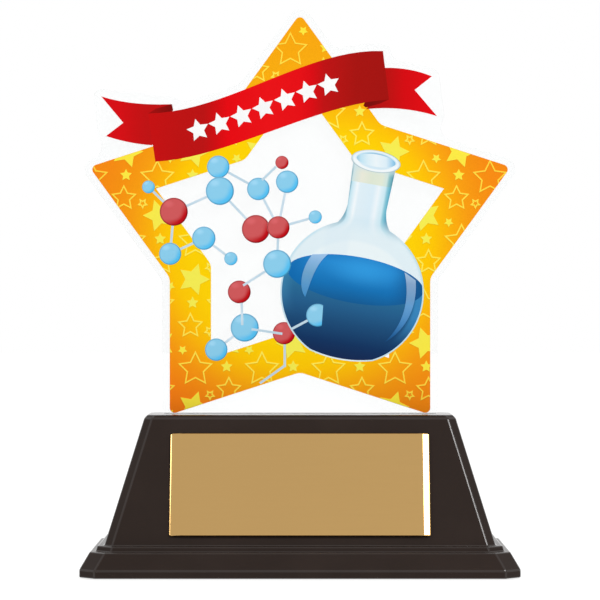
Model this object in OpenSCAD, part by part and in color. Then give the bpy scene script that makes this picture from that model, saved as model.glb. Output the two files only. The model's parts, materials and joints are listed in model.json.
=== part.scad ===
// Star trophy: a printed, contour-cut acrylic star standing in the slot of a moulded stepped base.
// Millimetres. +Z is up, the front faces -Y, and the origin is the centre of the surface it stands on.

/* [Base] */
// Width of the plinth over its lip
base_w = 107; // [88:0.5:130]
// Depth of the plinth over its lip
base_d = 53.5; // [44:0.5:66]
// Height of the top of the block above the table
base_h = 39.15; // [32:0.05:46]
// Height at which the upright lip of the plinth ends
lip_top = 2.2; // [1.8:0.1:3.5]
// Height at which the sloping rim of the plinth ends
plinth_top = 6.35; // [5:0.05:8]
// Height at which the narrow step on the plinth ends
step_top = 7.7; // [7:0.1:10]
// How far the sloping rim leans in
rim_in = 2.4; // [1.5:0.1:3]
// Width of the flat ledge between the rim and the step
rim_ledge = 1.35; // [0.8:0.05:2]
// How far the step's side leans in
step_in = 0.35; // [0:0.05:0.6]
// Width of the flat ledge between the step and the block
step_ledge = 1.7; // [1:0.1:2.5]
// How far the ends of the block lean in over its height
side_lean = 9.4; // [6:0.1:11]
// How far the front and back of the block lean in over its height
front_lean = 11.45; // [8:0.05:12]
// Corner chamfer of the plinth, seen from above
plinth_chamfer = 3.8; // [2:0.1:6]
// Corner chamfer of the block, seen from above
block_chamfer = 1.95; // [1:0.05:3]
// Small bevel around the top of the block
top_bevel = 0.8; // [0.3:0.1:1.2]
// Wall thickness of the moulding
wall = 2; // [1.4:0.1:2.6]

/* [Bottom cover and ballast] */
// Thickness of the bottom cover
cover_t = 2; // [1.5:0.1:2.5]
// Gap around the bottom cover
cover_gap = 0.2; // [0.1:0.05:0.4]
// Width of the shelf inside the lip that the cover rests against
cover_shelf = 1.4; // [1:0.1:2]
// Radius of the screw bosses
boss_r = 3.2; // [2.6:0.1:4]
// Height of the screw bosses above the cover
boss_h = 14; // [10:0.5:17]
// Thickness of the ribs that tie the bosses to the walls
rib_t = 1.6; // [1:0.1:2.4]
// How far the ribs rise above the bosses
rib_rise = 4; // [0:0.5:8]
// Distance of the screw bosses from the ends of the block
boss_inset = 11; // [9:0.5:14]
// Distance of the screw bosses from the front and back of the block
boss_inset_y = 8; // [7:0.5:10]
// Radius of the cover screws' shanks
screw_r = 1.2; // [1:0.05:1.5]
// Radius of the cover screws' heads
screw_head_r = 2.3; // [1.8:0.1:3]
// Height of the cover screws' heads
screw_head_h = 1.2; // [0.8:0.1:1.4]
// Length of the cover screws under the head
screw_l = 9; // [6:0.5:10]
// Running gap around a screw shank
screw_gap = 0.1; // [0.05:0.05:0.2]
// Distance of the foot pads' centres from the plinth's lip
foot_inset = 9; // [8:0.5:12]
// Radius of the foot pads
foot_r = 4; // [3:0.5:5]
// Thickness of the foot pads
foot_t = 1; // [0.8:0.1:1.4]
// How far the foot pads stand below the plinth
foot_proud = 0.3; // [0.2:0.1:0.6]
// Gap between the ballast plate and the bosses
ballast_gap = 1.5; // [1:0.5:4]
// Depth of the ballast plate
ballast_d = 20; // [14:1:22]
// Thickness of the ballast plate
ballast_t = 6; // [4:0.5:8]
// Height of the posts that carry the ballast plate
post_h = 3; // [2:0.5:4]
// Distance of the ballast screws from the ends of the ballast plate
ballast_screw_in = 10; // [5:1:14]

/* [Engraving plate] */
// Width of the engraving plate
plate_w = 63.5; // [50:0.5:66]
// Height of the engraving plate, along the slope
plate_h = 26; // [20:0.5:28]
// Thickness of the engraving plate
plate_t = 0.8; // [0.5:0.1:1]
// Bevel around the face of the engraving plate
plate_bevel = 0.35; // [0.2:0.05:0.45]
// Cropping of the engraving plate's corners
plate_corner = 0.3; // [0.1:0.1:1]
// How far the engraving plate lies below the middle of the slope, along it
plate_drop = 1.3; // [0:0.05:1.5]
// Thickness of the adhesive tape behind the engraving plate
tape_t = 0.2; // [0.1:0.05:0.3]
// Margin of the tape inside the engraving plate's edge
tape_margin = 1; // [0.5:0.5:3]

/* [Acrylic plate] */
// Thickness of the acrylic
acrylic_t = 3; // [2.5:0.1:4]
// Clear margin around the print
clear_margin = 1.9; // [1.2:0.1:3]
// Fillet in the hollow corners of the acrylic's outline
hollow_fillet = 3; // [1:0.5:4]
// Width of the tab that stands in the base
tab_w = 50; // [40:1:56]
// Depth of the tab below the top of the base
tab_depth = 10; // [7:0.5:12]
// Gap on each side of the tab in its slot
slot_gap = 0.15; // [0.1:0.05:0.25]
// Wall thickness of the socket under the slot
socket_wall = 1.8; // [1.2:0.1:2.2]
// Thickness of the adhesive strip under the tab
adhesive_t = 0.4; // [0.2:0.1:0.6]

/* [Printed star] */
// Radius of the star to its sharp tips
star_r = 55.3; // [46:0.1:67]
// Radius of the star's hollow corners, as a part of the tip radius
star_hollow = 0.618; // [0.58:0.002:0.66]
// Width of the star's coloured border
border_w = 10.3; // [8:0.1:11]
// Rounding of the star's tips
tip_round = 1.25; // [0.5:0.05:2]
// Rounding of the star's hollow corners
corner_round = 3; // [1:0.5:4]
// Gap between the base and the star's lower tips
star_lift = 0.25; // [0.1:0.05:2]
// Thickness of each printed layer
ink_t = 0.1; // [0.05:0.01:0.15]
// How far the white layer is held back from the edge of the colours
white_in = 0.15; // [0.1:0.05:0.3]
// Line width of the outlined stars in the border
outline_w = 0.35; // [0.25:0.05:0.6]
// Width of the bonds between the atoms
bond_w = 0.6; // [0.5:0.05:1]
// Number of white stars along the ribbon
ribbon_star_count = 7; // [5:1:8]
// Radius of the white stars along the ribbon
ribbon_star_r = 2.9; // [2:0.1:3.4]

/* [Hidden] */

// Smoothness of small arcs, of curves, and of the printed circles.
arc_fn = 24;
curve_steps = 20;
round_fn = 64;
// A cut runs this far past the face it opens, and solids that join bite this far into each other.
past = 1;
bite = 0.01;

// Half sizes of the base's levels, each worked inwards from the one below.
lip_x = base_w/2;
lip_y = base_d/2;
rim_x = lip_x - rim_in;
rim_y = lip_y - rim_in;
step_x = rim_x - rim_ledge;
step_y = rim_y - rim_ledge;
block_x = step_x - step_in - step_ledge;
block_y = step_y - step_in - step_ledge;
top_x = block_x - side_lean;
top_y = block_y - front_lean;
block_h = base_h - step_top;
front_angle = atan(front_lean/block_h);

// The cover lies against a shelf inside the lip, and the bosses stand on it.
cover_z = foot_proud + 0.2;
cover_top = cover_z + cover_t;
boss_x = block_x - boss_inset;
boss_y = block_y - boss_inset_y;
foot_x = lip_x - foot_inset;
foot_y = lip_y - foot_inset;
ballast_z = cover_top + post_h;
ballast_x = boss_x - boss_r - ballast_gap;
ballast_screw_x = ballast_x - ballast_screw_in;
// The cross recess in a screw's head.
cross_reach = 0.6*screw_head_r;
cross_w = 0.6;

// The socket under the slot.
slot_w = tab_w + 2*slot_gap;
slot_d = acrylic_t + 2*slot_gap;
socket_floor = base_h - tab_depth - adhesive_t;

// The star stands on the base with its two lower tips, which rounding has made shorter, with a
// clear web between them.
tip_half = atan2(star_hollow*sin(36), 1 - star_hollow*cos(36));
tip_cut = tip_round*(sin(54)/sin(tip_half) - 1);
star_z = base_h + star_lift - tip_cut + star_r*sin(54);
web_x = star_r*cos(54);
web_h = 0.35*star_r;
// Rounding of the corners inside the border, and the bare rim that its pattern keeps.
inner_round = 0.05;
pattern_in = 0.05;
// Bare line around an atom that lies over another.
hairline = 0.04;
// The artwork was laid out on a star of this radius, and grows with the star.
art_r = 55.3;
art_k = star_r/art_r;
flask_tilt = -10;
flask_x = 13;
flask_z = -14.2;
flask_r = 17.9;
flask_foot = 17.1;
flask_foot_r = 30;
flask_line = 0.35;

// The border's pattern repeats in a tile, whose lower half is the upper half turned over.
tile_w = 16.6;
tile_h = 31.85;
tile_x = -8.2;
tile_z = -5.2;
tile_flip = 21.1;
small_star_hollow = 0.5;

// Atoms: place across, place up from the star's centre, radius. The last red one is behind the flask.
BLUE = [[-20.4, 17.1, 2.8], [-20, 11.1, 3.5], [-37.8, 12.1, 1.6], [-32.4, -4.6, 2.75], [-24, -0.7, 2.9],
        [-17.25, -5.8, 1.65], [-10.4, 11.6, 2.8], [-3.2, 13.4, 2.8], [-5.7, -7.1, 3.5],
        [-13.8, -23, 3.5], [-20.9, -28.5, 2.8], [3.8, 4.6, 1.65]];
RED = [[-31.5, 5.9, 3.5], [-4.5, 18.2, 1.65], [-11, 1.6, 3.5], [-5.4, 2, 2.8], [-15.15, -14.1, 2.85],
       [-4, -24.4, 2.8]];
// The blue atom that shows through the flask, and the line where it is cut.
SHOWING = [4.4, -19.9, 2.85];
showing_cut = 5.6;
showing_lean = -4;

// Bonds under the atoms, as pairs of atoms: the first from BLUE, the second from RED.
BLUE_RED = [[2, 0], [1, 0], [3, 0], [6, 3], [7, 3], [1, 2], [11, 3], [8, 3]];
// Bonds under the atoms, as pairs of atoms of BLUE.
BLUE_BLUE = [[3, 4], [4, 5], [0, 6], [9, 10]];

// ---- Plain helpers -------------------------------------------------------------------------

function star_points(r, hollow, turn = 0) =
    [for (i = [0:9]) let (a = 90 + turn + 36*i, q = i % 2 == 0 ? r : r*hollow) [q*cos(a), q*sin(a)]];

function bezier(a, b, c, d) =
    [for (i = [0:curve_steps]) let (t = i/curve_steps, s = 1 - t)
        s*s*s*a + 3*s*s*t*b + 3*s*t*t*c + t*t*t*d];

function place(atom) = [atom[0], atom[1]];

// A rectangle with chamfered corners, centred, from its half sizes.
module chamfered(x, y, c) {
    polygon([for (corner = ring(0, x, y, c)) [corner[0], corner[1]]]);
}

// The corners of a chamfered rectangle at one height, anticlockwise from above.
function ring(z, x, y, c) =
    [[-x + c, -y, z], [x - c, -y, z], [x, -y + c, z], [x, y - c, z],
     [x - c, y, z], [-x + c, y, z], [-x, y - c, z], [-x, -y + c, z]];

// A tapering level: from one chamfered outline up to another.
module level(z1, x1, y1, z2, x2, y2, c) {
    polyhedron(
        points = concat(ring(z1, x1, y1, c), ring(z2, x2, y2, c)),
        faces = concat([[0, 1, 2, 3, 4, 5, 6, 7], [15, 14, 13, 12, 11, 10, 9, 8]],
                       [for (i = [0:7]) [i, i + 8, (i + 1) % 8 + 8, (i + 1) % 8]]));
}

module at_bosses() {
    for (x = [-boss_x, boss_x], y = [-boss_y, boss_y])
        translate([x, y, 0]) children();
}

module at_feet() {
    for (x = [-foot_x, foot_x], y = [-foot_y, foot_y])
        translate([x, y, 0]) children();
}

module at_ballast_screws() {
    for (x = [-ballast_screw_x, ballast_screw_x])
        translate([x, 0, 0]) children();
}

// One printed layer: level 0 lies on the acrylic, and each next one on the one before.
module ink(layer) {
    translate([0, -acrylic_t/2 - layer*ink_t, 0])
        rotate([90, 0, 0])
            linear_extrude(ink_t) children();
}

// Puts artwork, drawn about the star's centre, in its place.
module artwork() {
    translate([0, star_z]) scale(art_k) children();
}

// ---- Outlines of the print -----------------------------------------------------------------

module rounded_star(grow = 0, tips = tip_round) {
    offset(r = -corner_round, $fn = arc_fn) offset(delta = corner_round)
        offset(r = tips, $fn = arc_fn) offset(delta = grow - tips)
            polygon(star_points(star_r, star_hollow));
}

module star_outline() {
    translate([0, star_z]) rounded_star();
}

module star_border() {
    translate([0, star_z]) difference() {
        rounded_star();
        rounded_star(-border_w, inner_round);
    }
}

module small_star(r, turn) {
    polygon(star_points(r, small_star_hollow, turn));
}

module small_outline_star(r, turn) {
    difference() {
        small_star(r, turn);
        offset(delta = -outline_w) small_star(r, turn);
    }
}

// Half a tile of the border's pattern.
module half_tile_outlines() {
    translate([5.8, -12.25]) small_outline_star(4.6, 0);
    translate([14.05, -17.35]) small_outline_star(3.4, 0);
    translate([2.35, -2.75]) small_outline_star(1.45, 180);
}

module half_tile_filled() {
    translate([14.85, -5.75]) small_star(4.1, -90);
    translate([9, -7.45]) small_star(1.25, 180);
    translate([14.6, -11.6]) small_star(1.55, 0);
}

// The half tile and its turned-over copy, over the whole star.
module tiled() {
    for (column = [-4:3], row = [-1:2])
        translate([tile_x + column*tile_w, tile_z + row*tile_h]) {
            children();
            translate([tile_flip, -tile_h/2]) mirror([1, 0]) children();
        }
}

module ribbon_band_outline() {
    polygon(concat(bezier([-37.9, 30.4], [-18, 30.8], [2, 46.8], [20.7, 46]),
                   bezier([22.2, 33.9], [4, 32.8], [-18, 19.3], [-36.1, 18.4])));
}

module ribbon_left_outline() {
    polygon(concat(bezier([-49.6, 34.7], [-44, 32.9], [-38, 32.5], [-31.95, 32.75]),
                   [[-31.65, 31.3], [-36.9, 22.5]],
                   bezier([-36.9, 22.5], [-40, 22.7], [-44, 23.3], [-48.4, 24.8]),
                   [[-44.1, 28.1]]));
}

module ribbon_right_outline() {
    polygon(concat(bezier([16.5, 31.5], [23, 32.2], [29, 31.4], [34.2, 29.75]),
                   [[28.6, 36.3]],
                   bezier([32.9, 39.7], [29, 41.3], [25, 41.9], [21, 41.8]),
                   [[18.5, 34]]));
}

module left_fold_outline() {
    polygon([[-37.9, 30.4], [-36, 31.6], [-31.95, 32.75], [-31.65, 31.3], [-34, 29]]);
}

module right_fold_outline() {
    polygon([[22.2, 33.9], [20, 32.9], [16.4, 31.9], [15.8, 32.4], [17, 35]]);
}

module ribbon_outline() {
    ribbon_band_outline();
    ribbon_left_outline();
    ribbon_right_outline();
    left_fold_outline();
    right_fold_outline();
}

module disc(atom, grow = 0) {
    translate(place(atom)) circle(r = atom[2] + grow, $fn = round_fn);
}

// Atoms of one colour, each lying over those before it in the list, with a hairline around it.
module stacked(atoms) {
    last = len(atoms) - 1;
    disc(atoms[last]);
    for (i = [0:last - 1]) difference() {
        disc(atoms[i]);
        for (j = [i + 1:last]) disc(atoms[j], hairline);
    }
}

module blue_discs() {
    for (atom = BLUE) disc(atom);
}

// The red atoms, with the last one cut by the flask in front of it.
module red_discs_seen() {
    last = len(RED) - 1;
    for (i = [0:last - 1]) disc(RED[i]);
    difference() {
        disc(RED[last]);
        flask_outline();
    }
}

module showing_disc() {
    intersection() {
        disc(SHOWING);
        translate([showing_cut, SHOWING[1]]) rotate(showing_lean) translate([-10, -5]) square([10, 10]);
    }
}

// A straight bar between two points.
module bar(a, b) {
    d = b - a;
    translate(a) rotate(atan2(d[1], d[0]))
        translate([0, -bond_w/2]) square([norm(d), bond_w]);
}

module bonds_under() {
    for (pair = BLUE_RED) bar(place(BLUE[pair[0]]), place(RED[pair[1]]));
    for (pair = BLUE_BLUE) bar(place(BLUE[pair[0]]), place(BLUE[pair[1]]));
    bar([-2.2, -23.4], place(SHOWING));
    bar([-3.8, -26], [-3.8, -32.8]);
    bar([-3.8, -32.5], [-10, -36.9]);
    bar([-14.2, -12.5], place(BLUE[8]));
}

module bonds_over() {
    bar([-9.5, 13.8], [-5.95, 17.15]);
    bar([-12.1, -23.4], [-4.4, -24.55]);
    bar([-14.55, -16.85], [-14.4, -22.4]);
    bar([-14.2, -12.5], [-11.67, -10.89]);
}

// Puts flask shapes in their place, which are drawn upright about the centre of its body.
module in_flask() {
    translate([flask_x, flask_z]) rotate(flask_tilt) children();
}

module ellipse(rx, ry) {
    polygon([for (i = [0:round_fn - 1]) [rx*cos(360*i/round_fn), ry*sin(360*i/round_fn)]]);
}

// The body, with its flatter foot, drawn smaller by an inset.
module flask_body_outline(inset = 0) {
    intersection() {
        circle(r = flask_r - inset, $fn = 2*round_fn);
        translate([0, flask_foot_r - flask_foot]) circle(r = flask_foot_r - inset, $fn = 2*round_fn);
    }
}

module flask_neck_outline() {
    right = concat(bezier([11.5, 12], [8, 15.2], [5.3, 16.5], [4.9, 21.5]), [[5.4, 33]]);
    polygon(concat(right, [for (i = [len(right) - 1:-1:0]) [-right[i][0], right[i][1]]]));
}

module flask_outline() {
    in_flask() {
        flask_body_outline();
        flask_neck_outline();
        rim_outline();
    }
}

module rim_outline() {
    translate([0.2, 33.2]) ellipse(6.2, 2.7);
}

module surface_outline() {
    intersection() {
        translate([0.3, 3.2]) ellipse(17.2, 5.8);
        flask_body_outline(flask_line);
    }
}

module liquid_outline() {
    difference() {
        intersection() {
            flask_body_outline(flask_line);
            translate([-flask_r, -flask_r]) square([2*flask_r, flask_r + 3.2]);
        }
        surface_outline();
    }
}

// The whole molecule, all of which lies in front of the ribbon and the star.
module molecule_outline() {
    blue_discs();
    red_discs_seen();
    showing_disc();
    bonds_under();
    bonds_over();
}

module print_outline() {
    star_border();
    artwork() {
        ribbon_outline();
        molecule_outline();
        flask_outline();
    }
}

// All that the acrylic has to carry, with the star's hollow and the ribbon's notches filled.
module carried_outline() {
    star_outline();
    artwork() {
        ribbon_band_outline();
        hull() ribbon_left_outline();
        hull() ribbon_right_outline();
    }
}

module acrylic_outline() {
    offset(r = -hollow_fillet, $fn = arc_fn) offset(delta = hollow_fillet)
        offset(r = clear_margin, $fn = arc_fn) carried_outline();
}

// ---- Base ----------------------------------------------------------------------------------

module base_outside() {
    translate([0, 0, foot_proud]) linear_extrude(lip_top - foot_proud)
        chamfered(lip_x, lip_y, plinth_chamfer);
    level(lip_top, lip_x, lip_y, plinth_top, rim_x, rim_y, plinth_chamfer);
    level(plinth_top, step_x, step_y, step_top, step_x - step_in, step_y - step_in, plinth_chamfer);
    // The block and the bevel around its top.
    bevel_z = base_h - top_bevel;
    lean = (bevel_z - step_top)/block_h;
    x = block_x - side_lean*lean;
    y = block_y - front_lean*lean;
    level(step_top, block_x, block_y, bevel_z, x, y, block_chamfer);
    level(bevel_z, x, y, base_h, x - top_bevel, y - top_bevel, block_chamfer);
}

module base_inside() {
    // The recess that the cover lies in.
    translate([0, 0, -past]) linear_extrude(cover_top + past)
        chamfered(lip_x - wall, lip_y - wall, plinth_chamfer);
    // The hollow above the shelf.
    shelf_x = lip_x - wall - cover_shelf;
    shelf_y = lip_y - wall - cover_shelf;
    inner_x = min(shelf_x, rim_x - wall);
    inner_y = min(shelf_y, rim_y - wall);
    knee_x = block_x - wall;
    knee_y = block_y - wall;
    knee_z = plinth_top - wall/2;
    level(cover_top - bite, inner_x, inner_y, knee_z, knee_x, knee_y, block_chamfer);
    roof_z = base_h - wall;
    lean = (roof_z - step_top)/block_h;
    level(knee_z - bite, knee_x, knee_y,
          roof_z, knee_x - side_lean*lean, knee_y - front_lean*lean, block_chamfer);
}

module socket_block() {
    w = slot_w + 2*socket_wall;
    d = slot_d + 2*socket_wall;
    bottom = socket_floor - socket_wall;
    translate([-w/2, -d/2, bottom]) cube([w, d, base_h - wall/2 - bottom]);
}

// Ribs that carry the bosses from the front and back walls.
module boss_ribs() {
    for (x = [-boss_x, boss_x], side = [-1, 1])
        translate([x - rib_t/2, side > 0 ? boss_y : -block_y, cover_top])
            cube([rib_t, block_y - boss_y, boss_h + rib_rise]);
}

module base_shell() {
    color([0.13, 0.1, 0.09]) difference() {
        union() {
            difference() {
                base_outside();
                base_inside();
            }
            intersection() {
                union() {
                    at_bosses() translate([0, 0, cover_top])
                        cylinder(r = boss_r, h = boss_h, $fn = round_fn);
                    boss_ribs();
                    socket_block();
                }
                // Half way into the walls of the block.
                level(0, block_x - wall/2, block_y - wall/2,
                      base_h - wall/2, top_x, top_y, block_chamfer);
            }
        }
        translate([-slot_w/2, -slot_d/2, socket_floor])
            cube([slot_w, slot_d, base_h - socket_floor + past]);
        at_bosses() translate([0, 0, cover_top - past])
            cylinder(r = screw_r + screw_gap, h = screw_l + past, $fn = round_fn);
    }
}

module bottom_cover() {
    color([0.1, 0.09, 0.09]) difference() {
        union() {
            translate([0, 0, cover_z]) linear_extrude(cover_t)
                chamfered(lip_x - wall - cover_gap, lip_y - wall - cover_gap, plinth_chamfer);
            at_ballast_screws() translate([0, 0, cover_top - bite])
                cylinder(r = boss_r, h = post_h + bite, $fn = round_fn);
        }
        at_bosses() translate([0, 0, cover_z - past]) {
            cylinder(r = screw_r + screw_gap, h = cover_t + 2*past, $fn = round_fn);
            cylinder(r = screw_head_r + screw_gap, h = past + screw_head_h + screw_gap, $fn = round_fn);
        }
        at_feet() translate([0, 0, cover_z - past])
            cylinder(r = foot_r + screw_gap, h = past + foot_t - cover_z, $fn = round_fn);
        at_ballast_screws() translate([0, 0, cover_top - cover_t/4])
            cylinder(r = screw_r + screw_gap, h = post_h + past, $fn = round_fn);
    }
}

module cover_screws() {
    color("dimgray") at_bosses() translate([0, 0, cover_z + screw_gap]) difference() {
        union() {
            cylinder(r = screw_head_r, h = screw_head_h, $fn = round_fn);
            cylinder(r = screw_r, h = screw_l, $fn = round_fn);
        }
        translate([0, 0, -past]) cross_recess(past + screw_head_h/2);
    }
}

module cross_recess(h) {
    for (turn = [0, 90]) rotate(turn)
        translate([-cross_reach, -cross_w/2, 0]) cube([2*cross_reach, cross_w, h]);
}

module foot_pads() {
    color([0.2, 0.2, 0.2]) at_feet() cylinder(r = foot_r, h = foot_t, $fn = round_fn);
}

module ballast_plate() {
    color("slategray") difference() {
        translate([0, 0, ballast_z]) linear_extrude(ballast_t)
            chamfered(ballast_x, ballast_d/2, block_chamfer);
        at_ballast_screws() translate([0, 0, ballast_z - past])
            cylinder(r = screw_r + screw_gap, h = ballast_t + 2*past, $fn = round_fn);
    }
}

module ballast_screws() {
    color("silver") at_ballast_screws() translate([0, 0, ballast_z + ballast_t]) difference() {
        union() {
            cylinder(r = screw_head_r, h = screw_head_h, $fn = round_fn);
            translate([0, 0, -ballast_t - post_h])
                cylinder(r = screw_r, h = ballast_t + post_h, $fn = round_fn);
        }
        translate([0, 0, screw_head_h/2]) cross_recess(past);
    }
}

// ---- Engraving plate -----------------------------------------------------------------------

// Puts children on the front slope: X across, Y up the slope, Z out of it.
module on_front() {
    translate([0, -(block_y + top_y)/2, (step_top + base_h)/2])
        rotate([90 - front_angle, 0, 0]) translate([0, -plate_drop, 0]) children();
}

module plate_tape() {
    color("white") on_front() translate([-plate_w/2 + tape_margin, -plate_h/2 + tape_margin, 0])
        cube([plate_w - 2*tape_margin, plate_h - 2*tape_margin, tape_t]);
}

module engraving_plate() {
    color([0.77, 0.63, 0.38]) on_front() translate([0, 0, tape_t]) {
        linear_extrude(plate_t - plate_bevel) chamfered(plate_w/2, plate_h/2, plate_corner);
        level(plate_t - plate_bevel, plate_w/2, plate_h/2,
              plate_t, plate_w/2 - plate_bevel, plate_h/2 - plate_bevel, plate_corner);
    }
}

// ---- Acrylic plate -------------------------------------------------------------------------

module acrylic_plate() {
    color([0.85, 0.95, 1, 0.4])
        translate([0, acrylic_t/2, 0]) rotate([90, 0, 0]) linear_extrude(acrylic_t) {
            intersection() {
                union() {
                    acrylic_outline();
                    translate([-web_x, base_h]) square([2*web_x, web_h]);
                }
                translate([-2*star_r, base_h]) square([4*star_r, 4*star_r]);
            }
            translate([-tab_w/2, base_h - tab_depth]) square([tab_w, tab_depth + past]);
        }
}

module tab_adhesive() {
    color([0.9, 0.9, 0.85]) translate([-tab_w/2, -acrylic_t/2, socket_floor])
        cube([tab_w, acrylic_t, adhesive_t]);
}

// ---- Print ---------------------------------------------------------------------------------

module white_underprint() {
    color("white") ink(0) offset(delta = -white_in) print_outline();
}

module star_border_print() {
    color([1, 0.7, 0.05]) ink(1) difference() {
        star_border();
        artwork() {
            ribbon_outline();
            molecule_outline();
            flask_outline();
        }
    }
}

// The pattern lies on the border, clear of all that is printed over it.
module on_border() {
    intersection() {
        translate([0, star_z]) tiled() children();
        difference() {
            offset(delta = -pattern_in) star_border();
            artwork() {
                ribbon_outline();
                molecule_outline();
                flask_outline();
            }
        }
    }
}

module border_outline_stars() {
    color([1, 0.85, 0.3]) ink(2) on_border() half_tile_outlines();
}

module border_filled_stars() {
    color([1, 0.92, 0.28]) ink(2) on_border() half_tile_filled();
}

module ribbon_band() {
    color([0.85, 0.07, 0.1]) ink(1) artwork() difference() {
        ribbon_band_outline();
        molecule_outline();
    }
}

module ribbon_left_tail() {
    color([0.8, 0.07, 0.09]) ink(1) artwork() difference() {
        ribbon_left_outline();
        ribbon_band_outline();
        left_fold_outline();
    }
}

module ribbon_right_tail() {
    color([0.8, 0.07, 0.09]) ink(1) artwork() difference() {
        ribbon_right_outline();
        ribbon_band_outline();
        right_fold_outline();
    }
}

module ribbon_folds() {
    color([0.55, 0.07, 0.06]) ink(1) artwork() difference() {
        union() {
            left_fold_outline();
            right_fold_outline();
        }
        ribbon_band_outline();
    }
}

// White stars along the middle of the ribbon, each turned with it.
module ribbon_stars() {
    color("white") ink(2) artwork()
        for (i = [0:ribbon_star_count - 1]) {
            t = 0.2 + 0.55*i/(ribbon_star_count - 1);
            at = ribbon_middle(t);
            ahead = ribbon_middle(t + 0.01) - at;
            translate(at) rotate(atan2(ahead[1], ahead[0])) small_star(ribbon_star_r, 0);
        }
}

function ribbon_middle(t) =
    let (s = 1 - t) s*s*s*[-37, 24.4] + 3*s*s*t*[-18, 25.1] + 3*s*t*t*[3, 39.8] + t*t*t*[21.5, 40];

module molecule_bonds() {
    color([0.72, 0.83, 0.9]) ink(1) artwork() {
        difference() {
            bonds_under();
            blue_discs();
            red_discs_seen();
            showing_disc();
            bonds_over();
        }
        bonds_over();
    }
}

module blue_atoms() {
    color([0.35, 0.73, 0.92]) ink(1) artwork() difference() {
        union() {
            stacked(BLUE);
            showing_disc();
        }
        bonds_over();
    }
}

module red_atoms() {
    color([0.75, 0.12, 0.18]) ink(1) artwork() difference() {
        intersection() {
            stacked(RED);
            red_discs_seen();
        }
        bonds_over();
    }
}

module flask_part() {
    ink(1) artwork() difference() {
        in_flask() children();
        molecule_outline();
    }
}

module mouth_outline() {
    translate([0.2, 33.4]) ellipse(4.9, 1.55);
}

module neck_shade_outline() {
    difference() {
        intersection() {
            flask_neck_outline();
            translate([-6, 27.4]) square([12, 6]);
        }
        rim_outline();
    }
}

module flask_glass() {
    color([0.82, 0.92, 0.97]) flask_part() difference() {
        union() {
            flask_body_outline();
            flask_neck_outline();
        }
        rim_outline();
        neck_shade_outline();
        surface_outline();
        liquid_outline();
    }
}

module flask_neck_shade() {
    color([0.88, 0.9, 0.78]) flask_part() neck_shade_outline();
}

module flask_rim() {
    color([0.7, 0.86, 0.94]) flask_part() difference() {
        rim_outline();
        mouth_outline();
    }
}

module flask_mouth() {
    color([0.6, 0.8, 0.93]) flask_part() mouth_outline();
}

module flask_liquid() {
    color([0.08, 0.3, 0.52]) flask_part() liquid_outline();
}

module flask_liquid_surface() {
    color([0.07, 0.46, 0.75]) flask_part() surface_outline();
}

// The light streaks down the two sides of the body, which narrow to a point.
module left_streak_outline() {
    polygon(concat(bezier([-7.5, 8.4], [-10.3, 5.2], [-10.6, 1], [-11.3, -3.2]),
                   bezier([-11.3, -3.2], [-13.6, -1.2], [-13.5, 4], [-11.4, 7.6])));
}

module right_streak_outline() {
    polygon(concat(bezier([12, 7.2], [14.6, 1], [14.2, -6], [9.8, -11.2]),
                   bezier([9.8, -11.2], [14.8, -7.3], [16.8, -1], [15.1, 5.7])));
}

module flask_highlights() {
    color([0.75, 0.88, 0.96]) ink(2) artwork() difference() {
        in_flask() {
            left_streak_outline();
            right_streak_outline();
        }
        molecule_outline();
    }
}

// ---- What is drawn -------------------------------------------------------------------------

base_shell();
bottom_cover();
cover_screws();
foot_pads();
ballast_plate();
ballast_screws();
engraving_plate();
plate_tape();
acrylic_plate();
tab_adhesive();
white_underprint();
star_border_print();
border_outline_stars();
border_filled_stars();
ribbon_band();
ribbon_left_tail();
ribbon_right_tail();
ribbon_folds();
ribbon_stars();
molecule_bonds();
blue_atoms();
red_atoms();
flask_glass();
flask_neck_shade();
flask_rim();
flask_mouth();
flask_liquid();
flask_liquid_surface();
flask_highlights();
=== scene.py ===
"""Looks of the star trophy: a printed acrylic star standing in a moulded black base.

Metres, in the part's own frame: +Z is up, the front faces -Y, and the origin is the centre of the surface
that the trophy stands on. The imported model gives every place, and the new pieces here stand for the
nodes whose edges, heads and coats need more than the plain solids show.
"""

import json
import logging
import math
from dataclasses import dataclass, field
from enum import Enum
from typing import Callable, ClassVar, Optional, Sequence, Union

import bmesh
import bpy
import numpy as np
from mathutils import Matrix, Vector


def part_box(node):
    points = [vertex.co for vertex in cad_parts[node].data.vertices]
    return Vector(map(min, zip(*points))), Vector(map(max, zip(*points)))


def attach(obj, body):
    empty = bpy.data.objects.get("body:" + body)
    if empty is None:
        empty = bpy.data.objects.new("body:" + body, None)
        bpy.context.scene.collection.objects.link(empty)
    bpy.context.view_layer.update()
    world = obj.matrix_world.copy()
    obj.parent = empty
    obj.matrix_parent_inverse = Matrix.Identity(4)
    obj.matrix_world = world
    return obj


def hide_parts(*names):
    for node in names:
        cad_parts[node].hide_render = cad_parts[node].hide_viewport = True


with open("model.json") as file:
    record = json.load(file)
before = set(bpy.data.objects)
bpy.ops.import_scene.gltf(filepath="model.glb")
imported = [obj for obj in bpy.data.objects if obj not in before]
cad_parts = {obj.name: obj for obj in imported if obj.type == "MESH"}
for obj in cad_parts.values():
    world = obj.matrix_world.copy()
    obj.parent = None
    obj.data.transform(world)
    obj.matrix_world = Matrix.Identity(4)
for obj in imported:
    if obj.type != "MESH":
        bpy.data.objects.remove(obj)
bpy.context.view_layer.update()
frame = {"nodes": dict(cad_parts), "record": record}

MM = 0.001
BODY = "root"
LOG = logging.getLogger("star_trophy")

Colour = tuple[float, float, float, float]
Stop = tuple[float, str]
Number = Union["Wire", float]
Tint = Union["Wire", Colour]


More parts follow.
